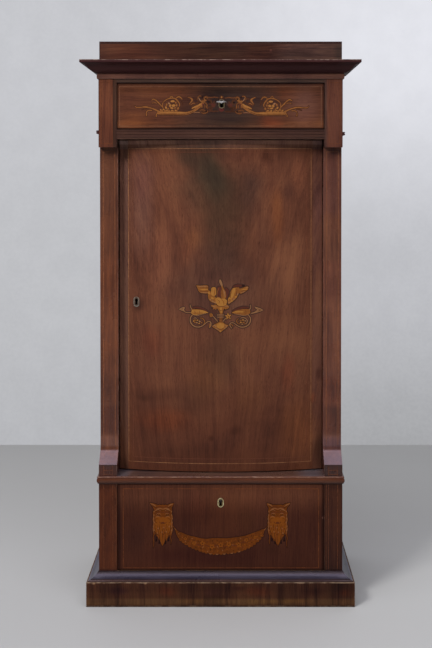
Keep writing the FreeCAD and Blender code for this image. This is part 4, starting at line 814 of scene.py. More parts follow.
# frieze drawer: leaf scrolls either side of the keyhole
top_inlay = Inlay("top_drawer_marquetry", "top_drawer", TONES["frieze"], lambda u, v: on_plane(u, v, FRIEZE_D), lambda x: FRIEZE_D, halo=1.7, edge_k=1.2)
for q in both(top_inlay, 221.7, 0.4):
    # thick stem that thins out and climbs towards the middle
    q.fill("M", [(158.0, 111.3), (164, 111.5), (172, 111.4), (180, 111.5), (185.5, 111.9), (190.6, 110.8), (196.2, 107.4), (200.8, 103.2), (204.8, 98.6), (206.0, 99.4),
                 (203.0, 104.6), (198.4, 109.2), (192.2, 113.0), (186.0, 115.0), (178, 115.2), (168, 115.1), (160.0, 114.9), (157.2, 113.4)], 10, 0.9)
    q.stroke("L", [(160, 112.5), (170, 112.4), (180, 112.7), (187, 112.8)], [0.5, 0.9, 0.9, 0.4], 11, 0)
    q.stroke("D", [(159, 114.4), (170, 114.6), (180, 114.6), (187, 113.9), (193, 111.5)], [0.5, 0.7, 0.6, 0.4], 11, 0)
    for k in range(5):
        q.oval("M", 161.8 + 3.6 * k, 110.9, 1.5, 1.0, 9, 0.5)
    # outer tendril
    q.stroke("M", [(134.6, 105.8), (136.6, 107.4), (140.5, 107.4), (144.2, 106.9), (148, 107.3), (152, 108.4), (155.5, 109.8), (159.5, 111.8)], [0.6, 1.0, 1.1, 1.5, 1.5, 1.3, 1.4, 1.9])
    q.stroke("D", [(141.8, 109.9), (144.6, 108.9), (147.0, 108.6)], [0.5, 0.8, 0.5], 9, 0.4)
    # two hooked tendrils under it
    q.stroke("M", [(152.0, 110.5), (149.2, 110.3), (147.0, 111.3), (146.3, 113.2), (146.7, 116.0)], [1.0, 1.0, 0.9, 0.9, 1.2])
    q.stroke("M", [(158.2, 112.8), (156.8, 114.0), (156.2, 115.6), (156.4, 116.8)], [1.4, 1.0, 1.0, 1.3])
    # leaf above the tendril
    q.stroke("M", [(151.4, 100.6), (153.6, 99.2), (156.2, 100.6), (159.0, 103.2), (162.8, 107.4), (165.0, 110.8)], [0.7, 1.5, 1.3, 1.2, 0.9, 0.7])
    q.stroke("M", [(151.6, 103.4), (154.4, 102.6), (157.0, 103.4)], [0.4, 0.8, 0.5], 9, 0.5)
    # rosette in a ring: a bunch of small petals with gaps between them
    q.stroke("M", [(163.2, 108.6), (162.6, 106.0), (163.2, 102.4), (166.6, 99.5), (170.6, 98.2), (175.0, 98.5), (177.8, 101.2), (179.6, 104.2), (179.3, 106.6)], [0.7, 1.0, 0.8, 1.0, 1.2, 1.3, 1.5, 1.2, 0.7])
    q.stroke("M", [(169.8, 97.9), (170.8, 96.2), (172.2, 96.6), (173.0, 98.0)], [0.5, 1.0, 0.9, 0.5], 9, 0.5)
    for u, v, ru, rv, t, kind in ((172.6, 101.2, 2.2, 1.1, 0, "L"), (169.0, 103.4, 1.3, 0.9, 30, "W"), (175.8, 102.6, 1.0, 1.2, 0, "M"), (172.2, 104.0, 1.1, 0.8, -20, "D"), (170.2, 105.6, 1.3, 1.5, 20, "L"),
                                  (173.6, 105.6, 1.9, 1.3, -15, "L"), (176.6, 105.2, 1.0, 1.4, 15, "M"), (171.8, 108.0, 1.8, 0.9, 10, "L"), (175.0, 108.0, 1.4, 0.9, -20, "M"), (166.6, 104.6, 0.9, 1.6, 15, "M"),
                                  (166.0, 107.6, 1.0, 1.4, -25, "L"), (168.0, 108.8, 0.9, 0.9, 0, "M"), (178.0, 108.4, 1.1, 1.5, 20, "M"), (174.6, 103.6, 0.8, 0.6, 0, "D")):
        q.oval(kind, u, v, ru, rv, 11, 0.35, turn=t, count=9)
    q.stroke("M", [(176.0, 98.2), (178.4, 96.7), (180.6, 97.5), (182.4, 99.6)], [0.6, 1.4, 1.3, 0.5])
    q.stroke("D", [(180.6, 100.4), (182.4, 102.6), (182.8, 105.0)], [0.4, 0.7, 0.4], 8, 0.4)
    # forked leaf
    q.stroke("M", [(187.6, 97.1), (190.0, 97.8), (192.2, 99.6), (191.2, 101.8), (189.2, 104.4)], [0.6, 1.0, 1.9, 1.5, 0.6])
    q.stroke("D", [(193.4, 99.2), (196.4, 98.4), (198.6, 100.2), (197.8, 102.6), (195.2, 103.2), (193.6, 101.6)], [0.5, 0.8, 0.9, 0.8, 0.7, 0.4], 9, 0.3)
    q.stroke("M", [(190.6, 104.8), (193.2, 103.2), (195.4, 103.6)], [0.5, 1.0, 0.5], 9, 0.4)
    q.stroke("L", [(191.6, 108.6), (194.8, 107.0), (198.2, 105.6), (200.6, 103.6)], [0.9, 1.7, 1.8, 0.9], 11)
    q.stroke("D", [(191.4, 106.2), (193.4, 105.4), (195.6, 105.2)], [0.6, 1.2, 0.5], 9, 0.3)
    # cluster of curled leaves next to the middle
    q.stroke("N", [(197.6, 99.6), (197.8, 97.4), (199.6, 95.8), (201.4, 96.4)], [0.8, 1.1, 1.2, 0.6])
    q.oval("K", 202.4, 97.0, 0.9, 0.9, 9, 0, count=8)
    q.stroke("W", [(198.6, 97.6), (199.6, 99.8), (201.0, 100.8)], [0.5, 0.9, 0.5], 9, 0.4)
    q.stroke("N", [(203.8, 99.2), (204.6, 97.6), (206.6, 97.0), (207.6, 98.0), (206.6, 99.4)], [0.8, 1.5, 1.9, 1.2, 0.6])
    q.oval("K", 205.6, 98.9, 0.8, 0.6, 13, 0, count=8)
    q.stroke("M", [(200.4, 101.4), (202.8, 101.4), (205.0, 100.8), (206.6, 100.2)], [0.8, 1.7, 1.4, 0.6], 12)
    q.oval("R", 203.0, 104.2, 1.1, 0.8, 13, 0, count=8)
    q.stroke("N", [(201.6, 99.6), (203.4, 101.8), (205.8, 103.2), (207.0, 104.8), (206.6, 107.0), (207.6, 108.6)], [0.8, 1.8, 1.0, 1.1, 1.5, 0.6], 11)
    q.oval("N", 201.8, 106.6, 1.0, 1.3, 9, 0.5, turn=20, count=8)
    q.oval("K", 209.4, 102.2, 1.3, 1.0, 10, 0, count=8)
    q.stroke("N", [(204.4, 104.6), (205.0, 106.2), (204.6, 108.2)], [0.5, 0.8, 0.4], 9, 0.4)
    q.stroke("D", [(201.0, 104.6), (202.4, 107.0), (201.0, 109.4)], [0.6, 1.2, 0.6], 8, 0.3)
    q.stroke("D", [(208.4, 99.6), (210.6, 100.6), (211.0, 103.0), (209.0, 104.2)], [0.6, 1.3, 1.0, 0.4], 9, 0.35)
    q.stroke("D", [(209.0, 107.2), (211.4, 106.2), (213.4, 103.8), (214.2, 101.6)], [0.4, 0.6, 0.6, 0.4], 8, 0.3)
    q.oval("R", 213.2, 105.2, 2.0, 1.8, 6, 0.2, turn=40, count=10)
    q.oval("D", 210.8, 108.8, 1.6, 0.8, 6, 0.2, count=8)
    q.stroke("D", [(207.6, 107.2), (210.0, 107.8), (213.2, 106.4), (215.4, 104.0)], [0.4, 0.9, 0.8, 0.4], 7, 0.3)
    q.stroke("N", [(207.8, 97.3), (211.4, 97.6), (214.4, 97.1), (218.0, 97.7)], [0.7, 0.7, 0.5, 0.35], 9, 0.35)
    q.stroke("N", [(199.4, 111.4), (200.8, 110.0), (203.4, 110.0), (205.6, 110.8)], [0.7, 0.9, 1.0, 0.6])
    q.stroke("N", [(201.2, 112.4), (203.4, 113.4), (205.8, 113.0), (207.6, 111.8), (207.4, 110.0)], [0.6, 1.0, 0.9, 0.8, 0.5])
    q.oval("D", 203.6, 111.8, 1.6, 0.8, 11, 0)
    q.oval("K", 206.2, 111.2, 0.9, 1.0, 11, 0, count=8)
    q.stroke("D", [(208.2, 111.4), (211.0, 110.9), (213.4, 111.4), (215.6, 111.2), (218.0, 111.2)], [0.6, 0.9, 0.5, 0.6, 0.3], 9, 0.2)
    q.stroke("W", [(193.4, 112.7), (196.8, 112.3), (200.2, 112.4)], [0.3, 0.5, 0.4], 9, 0.35)
    for u, v in ((160.6, 109.8), (163.4, 109.6), (167.0, 110.2), (172.0, 110.4), (175.4, 110.2)):
        q.oval("L", u, v, 0.9, 0.6, 11, 0.3, count=8)
top_inlay.fill("D", [(221.6, 95.4), (223.2, 96.8), (223.9, 98.6), (221.6, 99.4), (219.4, 98.6), (220.0, 96.8)], 8, 0.6, smooth=False)
top_inlay.fill("L", [(221.6, 96.2), (222.5, 97.2), (221.6, 98.0), (220.7, 97.2)], 12, 0, smooth=False)
top_inlay.fill("R", [(218.8, 108.4), (223.8, 108.4), (223.6, 110.6), (221.6, 111.8), (219.4, 110.6)], 8, 0.3, smooth=False)
top_inlay.stroke("M", [(284.4, 104.9), (286.4, 101.4), (289.2, 99.8), (292.4, 100.4)], [0.5, 0.9, 0.9, 0.5], 9, 0.5)
top_inlay.build()

# door: an eagle on a stem, over horns, scrolls and arrows
eagle = Inlay("door_marquetry", "door", TONES["door"], on_door, door_depth, proud=0.24, curved=True, halo=3.0, edge_k=1.5)
K = eagle


def row(kind, pts, ru, rv, prio, edge=0.5, spread=0.0, turn0=0.0, turn1=0.0):
    """Small overlapping lobes along a line."""
    n = len(pts)
    for i, (u, v) in enumerate(pts):
        t = turn0 + (turn1 - turn0) * i / max(1, n - 1)
        K.oval(kind[i % len(kind)], u, v + spread * (i % 2), ru, rv, prio, edge, turn=t, count=9)


# neck and head: pale tip, warm body, dark ground on either side
K.fill("R", [(217.0, 288.4), (219.0, 286.4), (221.0, 287.2), (221.6, 291.0), (221.4, 297.0), (218.4, 298.2), (216.6, 296.4)], 7, 0.4)
K.fill("R", [(225.4, 287.8), (227.4, 288.6), (229.0, 291.0), (228.0, 296.0), (226.4, 299.4), (225.2, 296.0)], 6, 0.4)
K.fill("M", [(220.9, 284.2), (222.4, 285.0), (223.4, 288.0), (225.4, 291.6), (226.2, 296.4), (225.0, 298.8), (221.6, 298.6), (220.8, 293.0), (221.4, 288.4)], 10, 0.8)
K.fill("W", [(219.8, 279.3), (221.0, 280.2), (222.2, 282.8), (222.6, 285.6), (221.4, 286.2), (219.9, 283.6), (219.2, 281.0)], 12, 0.7)
K.stroke("W", [(223.2, 289.6), (224.4, 292.6), (224.9, 297.0)], [0.5, 1.1, 0.6], 13, 0)
K.stroke("D", [(221.8, 287.4), (222.0, 292.0), (222.2, 297.4)], [0.4, 0.8, 0.4], 13, 0)
K.stroke("M", [(217.2, 297.6), (217.0, 293.6), (218.0, 290.2), (219.2, 288.0)], [0.5, 0.6, 0.5, 0.3], 9, 0)
# body
K.fill("L", [(215.6, 298.4), (218.6, 297.4), (221.6, 298.8), (224.4, 298.8), (226.8, 300.2), (226.6, 303.6), (225.0, 305.8), (221.4, 306.2), (217.8, 305.4), (215.9, 302.2)], 11, 0.9)
K.stroke("M", [(221.6, 299.4), (223.6, 301.8), (223.8, 304.8)], [0.6, 1.2, 0.6], 13, 0)
K.stroke("D", [(217.2, 305.6), (221.4, 306.5), (225.6, 305.6)], [0.4, 0.6, 0.4], 14, 0)
K.stroke("D", [(216.8, 299.4), (219.4, 301.2), (218.8, 303.6)], [0.3, 0.5, 0.3], 13, 0)
# left wing: outer feathers, inner lobe, scalloped lower edge
K.fill("M", [(196.4, 285.4), (200.0, 285.6), (204.0, 285.3), (208.0, 285.7), (208.3, 289.6), (208.1, 293.2), (204.4, 293.4), (200.6, 292.8), (198.6, 291.0), (197.4, 288.2)], 10, 0.9)
K.stroke("W", [(197.2, 286.3), (202.0, 286.3), (207.6, 286.4)], [0.4, 0.8, 0.6], 12, 0)
K.stroke("D", [(198.4, 288.0), (203.0, 287.9), (207.9, 288.0)], [0.3, 0.5, 0.4], 12, 0)
K.stroke("L", [(199.8, 289.4), (203.6, 289.6), (207.8, 289.4)], [0.4, 1.3, 1.0], 12, 0)
K.stroke("D", [(200.0, 291.2), (204.0, 291.4), (208.0, 291.2)], [0.3, 0.5, 0.3], 12, 0)
K.stroke("W", [(200.4, 292.4), (204.2, 292.8), (207.8, 292.6)], [0.3, 0.6, 0.4], 12, 0)
K.fill("L", [(211.2, 288.6), (213.2, 287.2), (215.6, 287.6), (216.2, 290.4), (215.8, 294.8), (213.6, 296.0), (211.4, 294.4)], 12, 0.8)
K.stroke("M", [(214.8, 289.0), (214.8, 292.0), (214.2, 294.8)], [0.4, 0.9, 0.4], 13, 0)
K.fill("M", [(208.2, 290.4), (211.0, 291.8), (212.4, 295.2), (215.4, 296.8), (216.8, 300.2), (216.4, 303.6), (213.6, 302.8), (210.8, 301.6), (208.6, 299.0), (208.0, 294.4)], 9, 0.8)
row("LM", [(209.2, 293.0), (209.8, 296.4), (212.4, 298.2), (214.8, 300.2)], 1.5, 1.1, 11, 0.5, turn0=60, turn1=30)
row("W", [(210.4, 299.6), (212.8, 301.4), (215.2, 302.6)], 1.2, 0.7, 12, 0.5, turn0=35, turn1=30)
# right wing: broad feather, spread tips, serrated lower edge
K.fill("M", [(227.8, 302.8), (227.8, 299.4), (229.4, 296.2), (230.4, 292.2), (232.2, 288.6), (235.6, 287.4), (239.2, 287.6), (239.6, 291.0), (238.4, 294.4), (236.8, 297.6), (234.4, 300.2), (231.2, 302.4), (229.0, 304.2)], 10, 0.9)
K.fill("L", [(230.8, 296.6), (231.8, 291.8), (233.2, 288.4), (235.4, 288.4), (234.6, 292.4), (233.4, 296.0), (231.6, 298.6)], 12, 0)
K.stroke("D", [(234.8, 298.2), (236.4, 294.0), (237.0, 289.4)], [0.4, 0.9, 0.4], 12, 0)
K.stroke("D", [(230.0, 300.4), (230.0, 296.6), (231.2, 292.4)], [0.3, 0.7, 0.3], 12, 0)
row("WL", [(229.2, 302.4), (231.6, 301.2), (233.8, 299.2), (235.8, 296.8), (237.6, 294.4)], 1.3, 0.8, 13, 0.45, turn0=-30, turn1=-60)
K.stroke("L", [(228.6, 300.6), (229.4, 298.0), (231.6, 299.6)], [0.6, 1.3, 0.6], 13, 0.3)
K.fill("R", [(232.6, 287.0), (235.2, 284.9), (240.0, 284.2), (243.4, 285.4), (240.0, 286.9), (236.0, 286.8)], 9, 0.5)
K.oval("K", 243.2, 285.8, 1.6, 1.0, 14, 0.3, count=10)
K.fill("M", [(240.2, 288.4), (243.2, 287.6), (246.6, 286.4), (248.4, 286.9), (248.0, 289.2), (245.2, 291.6), (242.0, 293.4), (239.6, 293.6), (239.4, 291.0)], 10, 0.9)
K.stroke("W", [(245.4, 288.2), (247.0, 287.5), (248.1, 287.4)], [0.5, 1.1, 0.8], 13, 0)
K.stroke("L", [(241.0, 289.8), (244.0, 289.4), (247.2, 289.2)], [0.6, 1.0, 0.5], 12, 0)
K.stroke("D", [(240.6, 291.4), (243.6, 290.8), (246.4, 290.2)], [0.3, 0.6, 0.3], 12, 0)
K.stroke("W", [(240.2, 293.0), (243.0, 292.2), (245.2, 291.0)], [0.4, 0.7, 0.4], 13, 0)
# spiky leaves under the body, tail and stem
K.fill("M", [(211.0, 304.6), (213.0, 305.2), (215.4, 304.4), (217.4, 305.6), (217.4, 308.0), (215.6, 310.0), (214.6, 308.8), (212.8, 309.6), (213.0, 307.4), (211.4, 306.8)], 9, 0.7, smooth=False)
K.stroke("W", [(212.2, 305.6), (214.4, 306.8), (216.6, 307.0)], [0.4, 0.8, 0.6], 12, 0)
K.oval("K", 212.6, 308.0, 0.9, 0.9, 8, 0.3, count=8)
K.fill("M", [(223.8, 305.8), (226.8, 304.4), (229.6, 306.8), (227.8, 308.8), (225.6, 309.6), (223.8, 308.2)], 9, 0.7, smooth=False)
K.stroke("W", [(224.8, 306.6), (227.0, 306.2), (228.6, 306.9)], [0.5, 0.9, 0.4], 12, 0)
K.oval("K", 224.0, 309.6, 0.9, 0.8, 8, 0.3, count=8)
K.fill("M", [(216.8, 306.2), (221.4, 306.8), (224.6, 306.2), (224.0, 308.8), (223.0, 311.4), (222.4, 313.6), (220.0, 313.6), (219.2, 311.2), (217.4, 308.6)], 12, 0.8)
K.stroke("L", [(220.8, 307.4), (221.0, 310.4), (221.2, 313.0)], [2.2, 1.7, 1.0], 13, 0)
K.stroke("D", [(219.0, 309.6), (221.0, 310.4), (223.0, 309.6)], [0.3, 0.5, 0.3], 14, 0)
K.fill("D", [(219.4, 313.4), (222.6, 313.4), (222.4, 318.6), (223.0, 322.6), (218.8, 322.6), (219.4, 318.6)], 8, 0.6, smooth=False)
for v in (314.3, 315.7, 317.1):
    K.stroke("W", [(216.8, v), (220.8, v + 0.25), (224.2, v)], [0.4, 0.75, 0.4], 10, 0.4)
for v in (318.8, 320.6):
    K.stroke("M", [(219.4, v), (221.0, v + 0.2), (222.6, v)], [0.8, 1.1, 0.8], 10, 0)
K.stroke("R", [(191.2, 308.2), (196.6, 307.4), (202.4, 308.6), (207.6, 311.2)], [1.2, 2.0, 1.8, 0.6], 7, 0.4)
K.stroke("R", [(232.6, 310.8), (238.0, 308.6), (243.6, 307.4), (249.4, 307.8)], [0.6, 1.8, 2.0, 1.2], 7, 0.4)
# horns with a light rim below, spikes and arrows: the two sides differ a little
K.fill("L", [(208.4, 312.8), (205.4, 311.0), (200.6, 309.6), (196.0, 309.0), (192.4, 309.2), (191.4, 311.4), (191.8, 314.0), (195.6, 314.8), (200.8, 314.0), (205.2, 313.2)], 10, 0.9)
K.stroke("M", [(192.2, 313.0), (197.0, 313.2), (203.0, 312.8)], [0.7, 1.2, 0.5], 12, 0)
K.stroke("D", [(192.6, 309.4), (198.0, 309.2), (203.6, 310.2), (208.0, 312.2)], [0.4, 0.5, 0.5, 0.3], 13, 0.5)
K.stroke("W", [(192.8, 314.6), (196.8, 315.4), (201.6, 314.4), (206.0, 313.4)], [0.5, 0.7, 0.5, 0.4], 12, 0.4)
K.stroke("D", [(194.6, 310.8), (195.2, 312.8), (194.8, 314.2)], [0.3, 0.4, 0.3], 13, 0)
K.stroke("D", [(199.0, 310.4), (199.8, 312.4), (199.4, 314.0)], [0.3, 0.4, 0.3], 13, 0)
K.stroke("W", [(190.2, 304.4), (190.5, 306.8), (191.9, 309.6)], [0.5, 0.9, 0.8], 11, 0.5)
K.fill("W", [(178.6, 309.2), (181.6, 307.6), (184.2, 306.8), (185.0, 307.9), (184.0, 309.3), (184.8, 311.0), (182.0, 310.8)], 10, 0.7, smooth=False)
K.stroke("D", [(181.4, 309.2), (183.2, 308.6)], [0.6, 0.5], 12, 0)
K.stroke("W", [(183.6, 311.2), (186.8, 312.5), (191.2, 312.6)], [0.6, 0.8, 0.8])
K.fill("M", [(231.6, 312.8), (234.6, 310.9), (239.4, 309.6), (245.0, 309.2), (249.0, 309.4), (250.4, 311.6), (249.2, 314.0), (244.8, 314.9), (239.0, 314.2), (235.0, 313.8)], 10, 0.9)
K.stroke("L", [(232.8, 312.6), (236.4, 311.8), (240.4, 311.7), (243.6, 312.0)], [0.6, 1.5, 1.5, 0.6], 12, 0)
K.stroke("D", [(232.4, 311.8), (237.4, 309.9), (243.0, 309.0), (248.6, 309.0)], [0.3, 0.5, 0.5, 0.4], 13, 0.5)
K.stroke("W", [(234.0, 313.8), (238.8, 314.6), (244.0, 315.4), (248.8, 314.6)], [0.4, 0.6, 0.7, 0.5], 12, 0.4)
K.stroke("D", [(245.4, 310.2), (246.0, 312.4), (245.4, 314.2)], [0.3, 0.5, 0.3], 13, 0)
K.stroke("W", [(250.3, 304.6), (250.7, 307.4), (249.4, 309.8)], [0.5, 0.9, 0.8], 11, 0.5)
K.fill("W", [(263.8, 310.1), (259.8, 308.0), (255.2, 306.6), (254.8, 307.8), (257.4, 309.9), (254.4, 311.8), (250.6, 313.0), (251.0, 314.0), (256.0, 312.9), (260.4, 311.6)], 10, 0.7, smooth=False)
K.stroke("D", [(257.2, 308.8), (260.4, 310.0), (257.6, 311.2)], [0.4, 0.6, 0.4], 12, 0)
# scrolls
K.stroke("W", [(192.4, 314.9), (190.7, 317.4), (190.3, 320.8), (191.8, 324.2), (195.0, 326.5), (199.4, 326.9), (203.4, 325.2), (206.6, 322.4), (209.2, 321.3), (210.8, 322.8), (210.6, 325.6), (209.2, 327.8)],
         [0.9, 1.0, 1.1, 1.1, 1.1, 1.0, 0.9, 0.8, 0.9, 1.1, 1.5, 1.1], 10, 0.7)
K.stroke("M", [(209.8, 323.6), (209.9, 325.4), (209.2, 327.4)], [0.8, 1.1, 0.8], 12, 0)
K.stroke("M", [(199.8, 318.0), (202.4, 318.3), (204.2, 320.2), (204.6, 322.8), (203.0, 324.6)], [0.6, 0.9, 1.0, 0.8, 0.5], 10, 0.5)
K.stroke("W", [(193.4, 318.6), (195.2, 317.8), (197.0, 318.6)], [0.5, 0.9, 0.5], 11, 0.4)
for u, v, ru, rv, t, kind in ((195.0, 320.0, 1.1, 0.8, 20, "M"), (197.4, 320.2, 1.0, 0.7, -20, "L"), (199.6, 321.4, 1.1, 0.9, 30, "W"), (194.8, 322.2, 0.9, 0.7, 0, "M"), (196.8, 322.6, 1.1, 0.8, 10, "W"), (199.2, 323.4, 1.0, 0.6, -20, "L"),
                              (201.6, 322.6, 0.9, 0.7, 40, "M"), (193.6, 321.0, 0.6, 0.9, 0, "L"), (198.2, 321.8, 0.6, 0.5, 0, "K"), (196.0, 321.2, 0.6, 0.5, 0, "K")):
    K.oval(kind, u, v, ru, rv, 12, 0.3, turn=t, count=8)
K.stroke("W", [(248.2, 314.8), (250.2, 317.6), (250.5, 320.8), (248.8, 324.4), (245.4, 326.6), (241.2, 327.1), (237.4, 325.6), (234.4, 323.4), (231.9, 322.6), (229.9, 324.0), (230.2, 326.2), (231.8, 328.2)],
         [0.9, 1.0, 1.1, 1.1, 1.1, 1.0, 0.9, 0.8, 0.9, 1.1, 1.0, 0.9], 10, 0.7)
K.stroke("M", [(230.6, 324.6), (232.4, 325.0), (233.2, 326.6)], [0.6, 1.0, 0.6], 11, 0.4)
K.stroke("M", [(238.6, 318.4), (236.8, 320.2), (237.0, 322.4), (238.8, 324.2)], [0.6, 0.9, 0.9, 0.5], 10, 0.5)
K.stroke("W", [(240.2, 318.3), (242.6, 317.6), (245.2, 318.2), (247.2, 320.2), (246.8, 322.8), (245.0, 324.2)], [0.5, 0.8, 0.8, 0.9, 0.9, 0.5], 11, 0.4)
for u, v, ru, rv, t, kind in ((240.4, 320.4, 1.2, 0.7, 0, "M"), (243.0, 320.0, 1.1, 0.7, 0, "L"), (245.2, 320.8, 0.8, 0.8, 0, "W"), (240.8, 322.4, 1.1, 0.8, 0, "L"), (243.6, 322.4, 1.2, 0.8, 0, "M"), (242.2, 324.2, 1.1, 0.6, 0, "W"),
                              (239.6, 323.8, 0.8, 0.5, 0, "M"), (242.2, 321.3, 0.6, 0.4, 0, "K"), (244.8, 323.8, 0.8, 0.5, 0, "M")):
    K.oval(kind, u, v, ru, rv, 12, 0.3, turn=t, count=8)
# leaf star, small leaf and the two diagonal stems
star = []
for i in range(10):
    a = math.radians(96 + 36 * i)
    r = 3.9 if i % 2 == 0 else 1.7
    star.append((228.2 + r * math.cos(a), 316.3 - r * math.sin(a)))
K.fill("L", star, 11, 0.8, smooth=False)
K.stroke("D", [(227.2, 315.4), (228.4, 316.6), (229.4, 318.0)], [0.4, 0.8, 0.3], 13, 0)
K.fill("M", [(209.4, 313.6), (211.6, 313.0), (213.0, 314.6), (212.4, 316.8), (210.2, 317.2), (209.6, 315.4)], 9, 0.6, smooth=False)
K.stroke("D", [(210.4, 314.6), (211.8, 315.8)], [0.5, 0.4], 12, 0)
K.stroke("W", [(212.6, 315.6), (215.0, 318.4), (217.8, 321.6)], [0.5, 0.9, 0.8], 9, 0.6)
K.stroke("W", [(226.4, 317.6), (224.8, 319.4), (222.8, 321.6)], [0.5, 0.9, 0.8], 9, 0.6)
# cup under the stem
K.fill("M", [(211.8, 326.0), (214.2, 324.4), (216.8, 323.2), (219.4, 321.8), (221.4, 321.4), (223.6, 322.6), (225.2, 324.2), (228.8, 325.2), (226.6, 327.6), (223.8, 329.8), (221.8, 331.4), (220.3, 332.7), (218.6, 331.0), (215.6, 329.0),
             (213.2, 327.4)], 10, 0.9, smooth=False)
K.fill("L", [(216.8, 324.6), (219.2, 323.2), (221.6, 323.0), (224.0, 324.4), (223.6, 327.4), (221.2, 328.8), (218.4, 328.2), (216.8, 326.4)], 11, 0.5)
K.stroke("W", [(212.6, 326.0), (214.8, 325.6), (216.4, 327.4)], [0.6, 1.2, 0.5], 12, 0.3)
K.stroke("W", [(224.6, 325.0), (226.6, 325.8), (226.0, 327.4), (223.8, 328.8)], [0.5, 0.9, 0.8, 0.5], 12, 0.3)
K.stroke("W", [(214.8, 328.0), (217.4, 329.0), (219.6, 330.6)], [0.4, 0.8, 0.5], 12, 0.3)
K.stroke("D", [(216.6, 327.6), (219.8, 329.4), (223.8, 328.0)], [0.3, 0.5, 0.3], 13, 0)
K.oval("L", 220.4, 331.2, 1.0, 0.8, 13, 0.3, count=8)
K.build()

